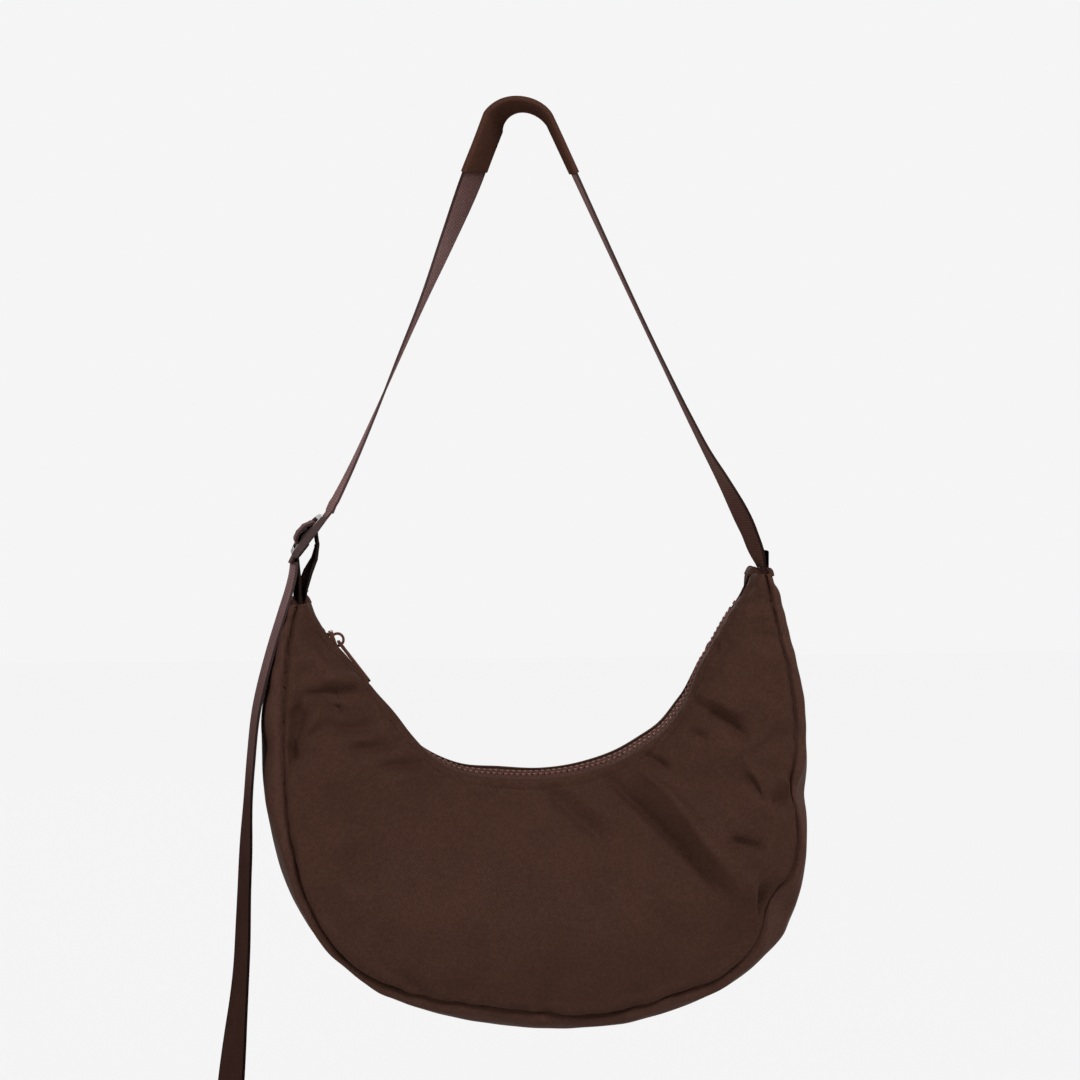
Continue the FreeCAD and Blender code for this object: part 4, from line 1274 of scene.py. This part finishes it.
stations += [arch_station(k / arch_steps) for k in range(arch_steps)]
stations += [left_station(lead_share * k / run_steps) for k in range(run_steps)]
level_edge = np.array((math.sin(level_yaw), -math.cos(level_yaw), 0.0))
for k, point in enumerate(threading):
    level = smooth(k, 2, 9)
    stations.append((point, level_edge * level - bar_direction * (1 - level)))
strap, strap_length = ribbon("strap_web", stations)
strap.data.materials.append(ribbed_webbing("strap_cloth", strap_length, strap_painted_light_tones))
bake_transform(strap)
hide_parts("strap_webbing", "strap_bend_left", "strap_bend_right", "strap_foot", "strap_threading")


# Shoulder sleeve
# A flat tube of the bag's twill around the strap where it rests on the shoulder. It is cut level at both ends
# and held by its close fit.
sleeve_width = 0.0403
sleeve_thickness = 0.0037
sleeve_wall = 0.0008
sleeve_drop = 0.041
sleeve_slant = math.tan(math.radians(7.9))
sleeve_cloth = (0.14, 0.08)
right_end, left_end = 0.89, 0.13
arch_from, arch_to = 0.3, 0.7


def flat_tube(share):
    """Offsets across and out from the middle of a flat tube, once round it."""
    half, corner = sleeve_width / 2, sleeve_thickness / 2
    straight = 2 * (half - corner)
    round_end = math.pi * corner
    at = (share % 1) * 2 * (straight + round_end)
    if at < straight:
        return straight / 2 - at, corner
    at -= straight
    if at < round_end:
        turn = math.pi / 2 + at / corner
        return -straight / 2 + corner * math.cos(turn), corner * math.sin(turn)
    at -= round_end
    if at < straight:
        return -straight / 2 + at, -corner
    turn = -math.pi / 2 + (at - straight) / corner
    return straight / 2 + corner * math.cos(turn), corner * math.sin(turn)


def end_share(station, guess, across):
    """Share of a run at which the sleeve's level cut meets a line of the sleeve."""
    first, last = station(0)[0][2], station(1)[0][2]
    edge = station(guess)[1]
    return (-sleeve_drop + across * (edge[1] * sleeve_slant - edge[2]) - first) / (last - first)


sleeve, s, t = cloth_grid("sleeve_twill_painted_light", 120, 64)
points = np.empty((len(s), 3))
for k, (along_share, round_share) in enumerate(zip(s, t)):
    across, out = flat_tube(round_share)
    if along_share < arch_from:
        start = end_share(right_station, right_end, across)
        share = start + (1 - start) * along_share / arch_from
        (point, edge), ahead = right_station(share), right_run
    elif along_share <= arch_to:
        share = (along_share - arch_from) / (arch_to - arch_from)
        point, edge = arch_station(share)
        angle = right_touch + (left_touch - right_touch) * share
        ahead = np.array((-math.sin(math.radians(angle)), 0.0, math.cos(math.radians(angle))))
    else:
        share = end_share(left_station, left_end, across) * (along_share - arch_to) / (1 - arch_to)
        (point, edge), ahead = left_station(share), left_run
    ahead = ahead / np.linalg.norm(ahead)
    edge = edge - ahead * (edge @ ahead)
    edge = edge / np.linalg.norm(edge)
    points[k] = point + edge * across + np.cross(ahead, edge) * out
set_points(sleeve, points)
bpy.ops.object.mode_set(mode="EDIT")
bpy.ops.mesh.select_all(action="SELECT")
bpy.ops.mesh.remove_doubles(threshold=1e-6)
bpy.ops.mesh.normals_make_consistent(inside=False)
bpy.ops.object.mode_set(mode="OBJECT")
# Painted light: the sleeve's twill tones are lighter than the panels' to make up for the little light that
# reaches the sleeve's faces.
sleeve_twill_painted_light = twill("sleeve_twill_painted_light", sleeve_cloth, dark=(61, 40, 32), light=(87, 58, 48), shine=0)
finish_sheet(sleeve, sleeve_twill_painted_light, "strap", "body_fabric", "shoulder_sleeve", thickness=sleeve_wall)


# Buckle loop
# A short length of the same webbing round the buckle's middle bar. Both its ends are sewn into the left tip,
# where its two layers turn a little.
# Painted shade: the loop's colour runs from darker at its left leg to lighter at its right leg, as the light
# falls on it.
loop_tones_painted_shade = ((0, (72, 56, 53)), (1, (80, 63, 60)))
leg_turn, turn_reach = 0.12, 0.013
first_turn, second_turn = -0.301, -0.294
loop_path = bent(
    [
        (-0.1378, 0.0, -0.3100),
        (-0.1378, 0.0, -0.2900),
        (-0.1380, 0.0, -0.2770),
        (-0.13152, 0.00050, -0.26896),
        (-0.13590, 0.00011, -0.26510),
        (-0.13020, 0.00061, -0.25970),
        (-0.12640, 0.00095, -0.26220),
        (-0.12580, 0.0, -0.2700),
        (-0.12720, 0.0, -0.2782),
        (-0.13110, 0.0, -0.2866),
        (-0.13440, 0.0, -0.2965),
        (-0.13520, 0.0, -0.3100),
    ],
    webbing,
)
stations = []
for k, point in enumerate(loop_path):
    middle = first_turn if k < len(loop_path) / 2 else second_turn
    turn = leg_turn * math.exp(-(((point[2] - middle) / turn_reach) ** 2))
    stations.append((point, level_edge + (turn, 0, 0)))
loop, loop_length = ribbon("buckle_loop", stations)
loop_cloth = ribbed_webbing("loop_cloth", loop_length, loop_tones_painted_shade)
fix(loop, loop_cloth, "bag", "webbing", "strap_loop")


# Slide buckle
# A flat cast slide with three bars, painted dark brown. It is the solid of the CAD part with its edges rounded
# off, fuller in the middle and drawn in a little at its upper end.
slide_half_length = 0.017
slide_swell, slide_crown, slide_sink = 0.45, 0.0010, 0.0005
slide_shift, slide_draw, slide_skew = 0.0003, 0.0040, 0.07
buckle_enamel = enamel("buckle_enamel", linear(58, 44, 42), linear(82, 66, 65), 0.4)
buckle = softened("slide_buckle", "strap_buckle", 0.0002)
slide_middle = sum(np.array(p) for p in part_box("strap_buckle")) / 2
slide_along = np.array((-0.619, 0.0, -0.785))
slide_up = np.array((-0.785, 0.0, 0.619))
points = points_of(buckle)
run = (points - slide_middle) @ slide_along / slide_half_length
full = 1 - np.clip(run ** 2, 0, 1)
rise = (points - slide_middle) @ slide_up
moved = slide_up * (full * (slide_swell * rise + slide_crown) - slide_sink)[:, None]
moved += slide_along * (slide_shift + slide_draw * (1 - run) / 2)[:, None]
moved[:, 0] += slide_skew * (points[:, 1] - points[:, 1].min())
set_points(buckle, points + moved)
fix(buckle, buckle_enamel, "bag", "hardware", "strap_buckle")


# Strap tail
# The free end of the strap's webbing below the buckle. It leans on the gusset, turns as it falls and hangs
# past the bag.
tail_root = np.array((-0.141449, -0.000369, -0.279563))
tail_drop = 0.408
bag_side = mouth_centre[0] - bag_half_width
tail_twists = (
    (0, -5), (0.1, -5.5), (0.29, -6.5), (0.36, -7), (0.43, -10.5), (0.5, -11.5), (0.56, -13), (0.63, -14),
    (0.68, -16.5), (0.72, -19.5), (0.77, -22.5), (1, -29),
)
# Painted light and shade: the tail is drawn pale at the top, where its face turns up to the light, and darker
# lower down, where it faces aside.
tail_painted_light_tones = (
    (0, (134, 106, 105)), (0.15, (115, 89, 87)), (0.25, (95, 72, 69)), (0.305, (92, 69, 66)),
    (0.34, (76, 54, 50)), (0.37, (70, 49, 44)), (0.46, (62, 42, 36)), (1, (60, 40, 35)),
)
tail_marks = (
    (0.0, 23.6), (0.02, 22.8), (0.045, 20.4), (0.075, 16.6), (0.15, 7.4), (0.225, 0.2), (0.3, -3.2),
    (0.45, -6.8), (0.62, -9.8), (0.8, -16.6), (1.0, -22.0),
)
fall = np.linspace(0, 1, 140)
sway = drawn(tail_marks, fall)
level = tail_root[2] - fall * tail_drop
line = np.stack([bag_side + sway / 1000, np.full_like(fall, tail_root[1]), level], axis=1)
down = np.gradient(line, axis=0)
stations = []
for point, way, share in zip(line, down, fall):
    out = np.array((way[2], 0.0, -way[0])) / math.hypot(way[0], way[2])
    stations.append((point, near_edge(out, float(drawn(tail_twists, share)))))
tail, tail_length = ribbon("strap_tail_web", stations)
tail_cloth = ribbed_webbing("tail_cloth", tail_length, tail_painted_light_tones)
fix(tail, tail_cloth, "tail", "webbing", "strap_tail")


# Side tab
# A small loop of plain black tape, folded in half. Both its ends are sewn in beside the strap at the right
# tip.
tab_black = (25, 22, 22)
tab_low, tab_high = [np.array(p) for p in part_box("side_tab")]
tab_middle = (tab_low + tab_high) / 2
tab_tape = 0.0009
fold_half = (tab_high[0] - tab_low[0]) / 2 - tab_tape / 2
tab_path = bent(
    [
        (tab_middle[0] - fold_half, tab_middle[1], tab_low[2]),
        (tab_middle[0] - fold_half, tab_middle[1], tab_high[2] - tab_tape / 2),
        (tab_middle[0] + fold_half, tab_middle[1], tab_high[2] - tab_tape / 2),
        (tab_middle[0] + fold_half, tab_middle[1], tab_low[2]),
    ],
    0.9 * fold_half,
)
tab_width = tab_high[1] - tab_low[1]
stations = [(point, -over_y) for point in tab_path]
tab, tab_length = ribbon("side_tab_tape", stations, tab_width, tab_tape)
tab_cloth = ribbed_webbing("tab_cloth", tab_length, ((0, tab_black), (1, tab_black)), tab_width)
fix(tab, tab_cloth, "bag", "tab", "side_tab")
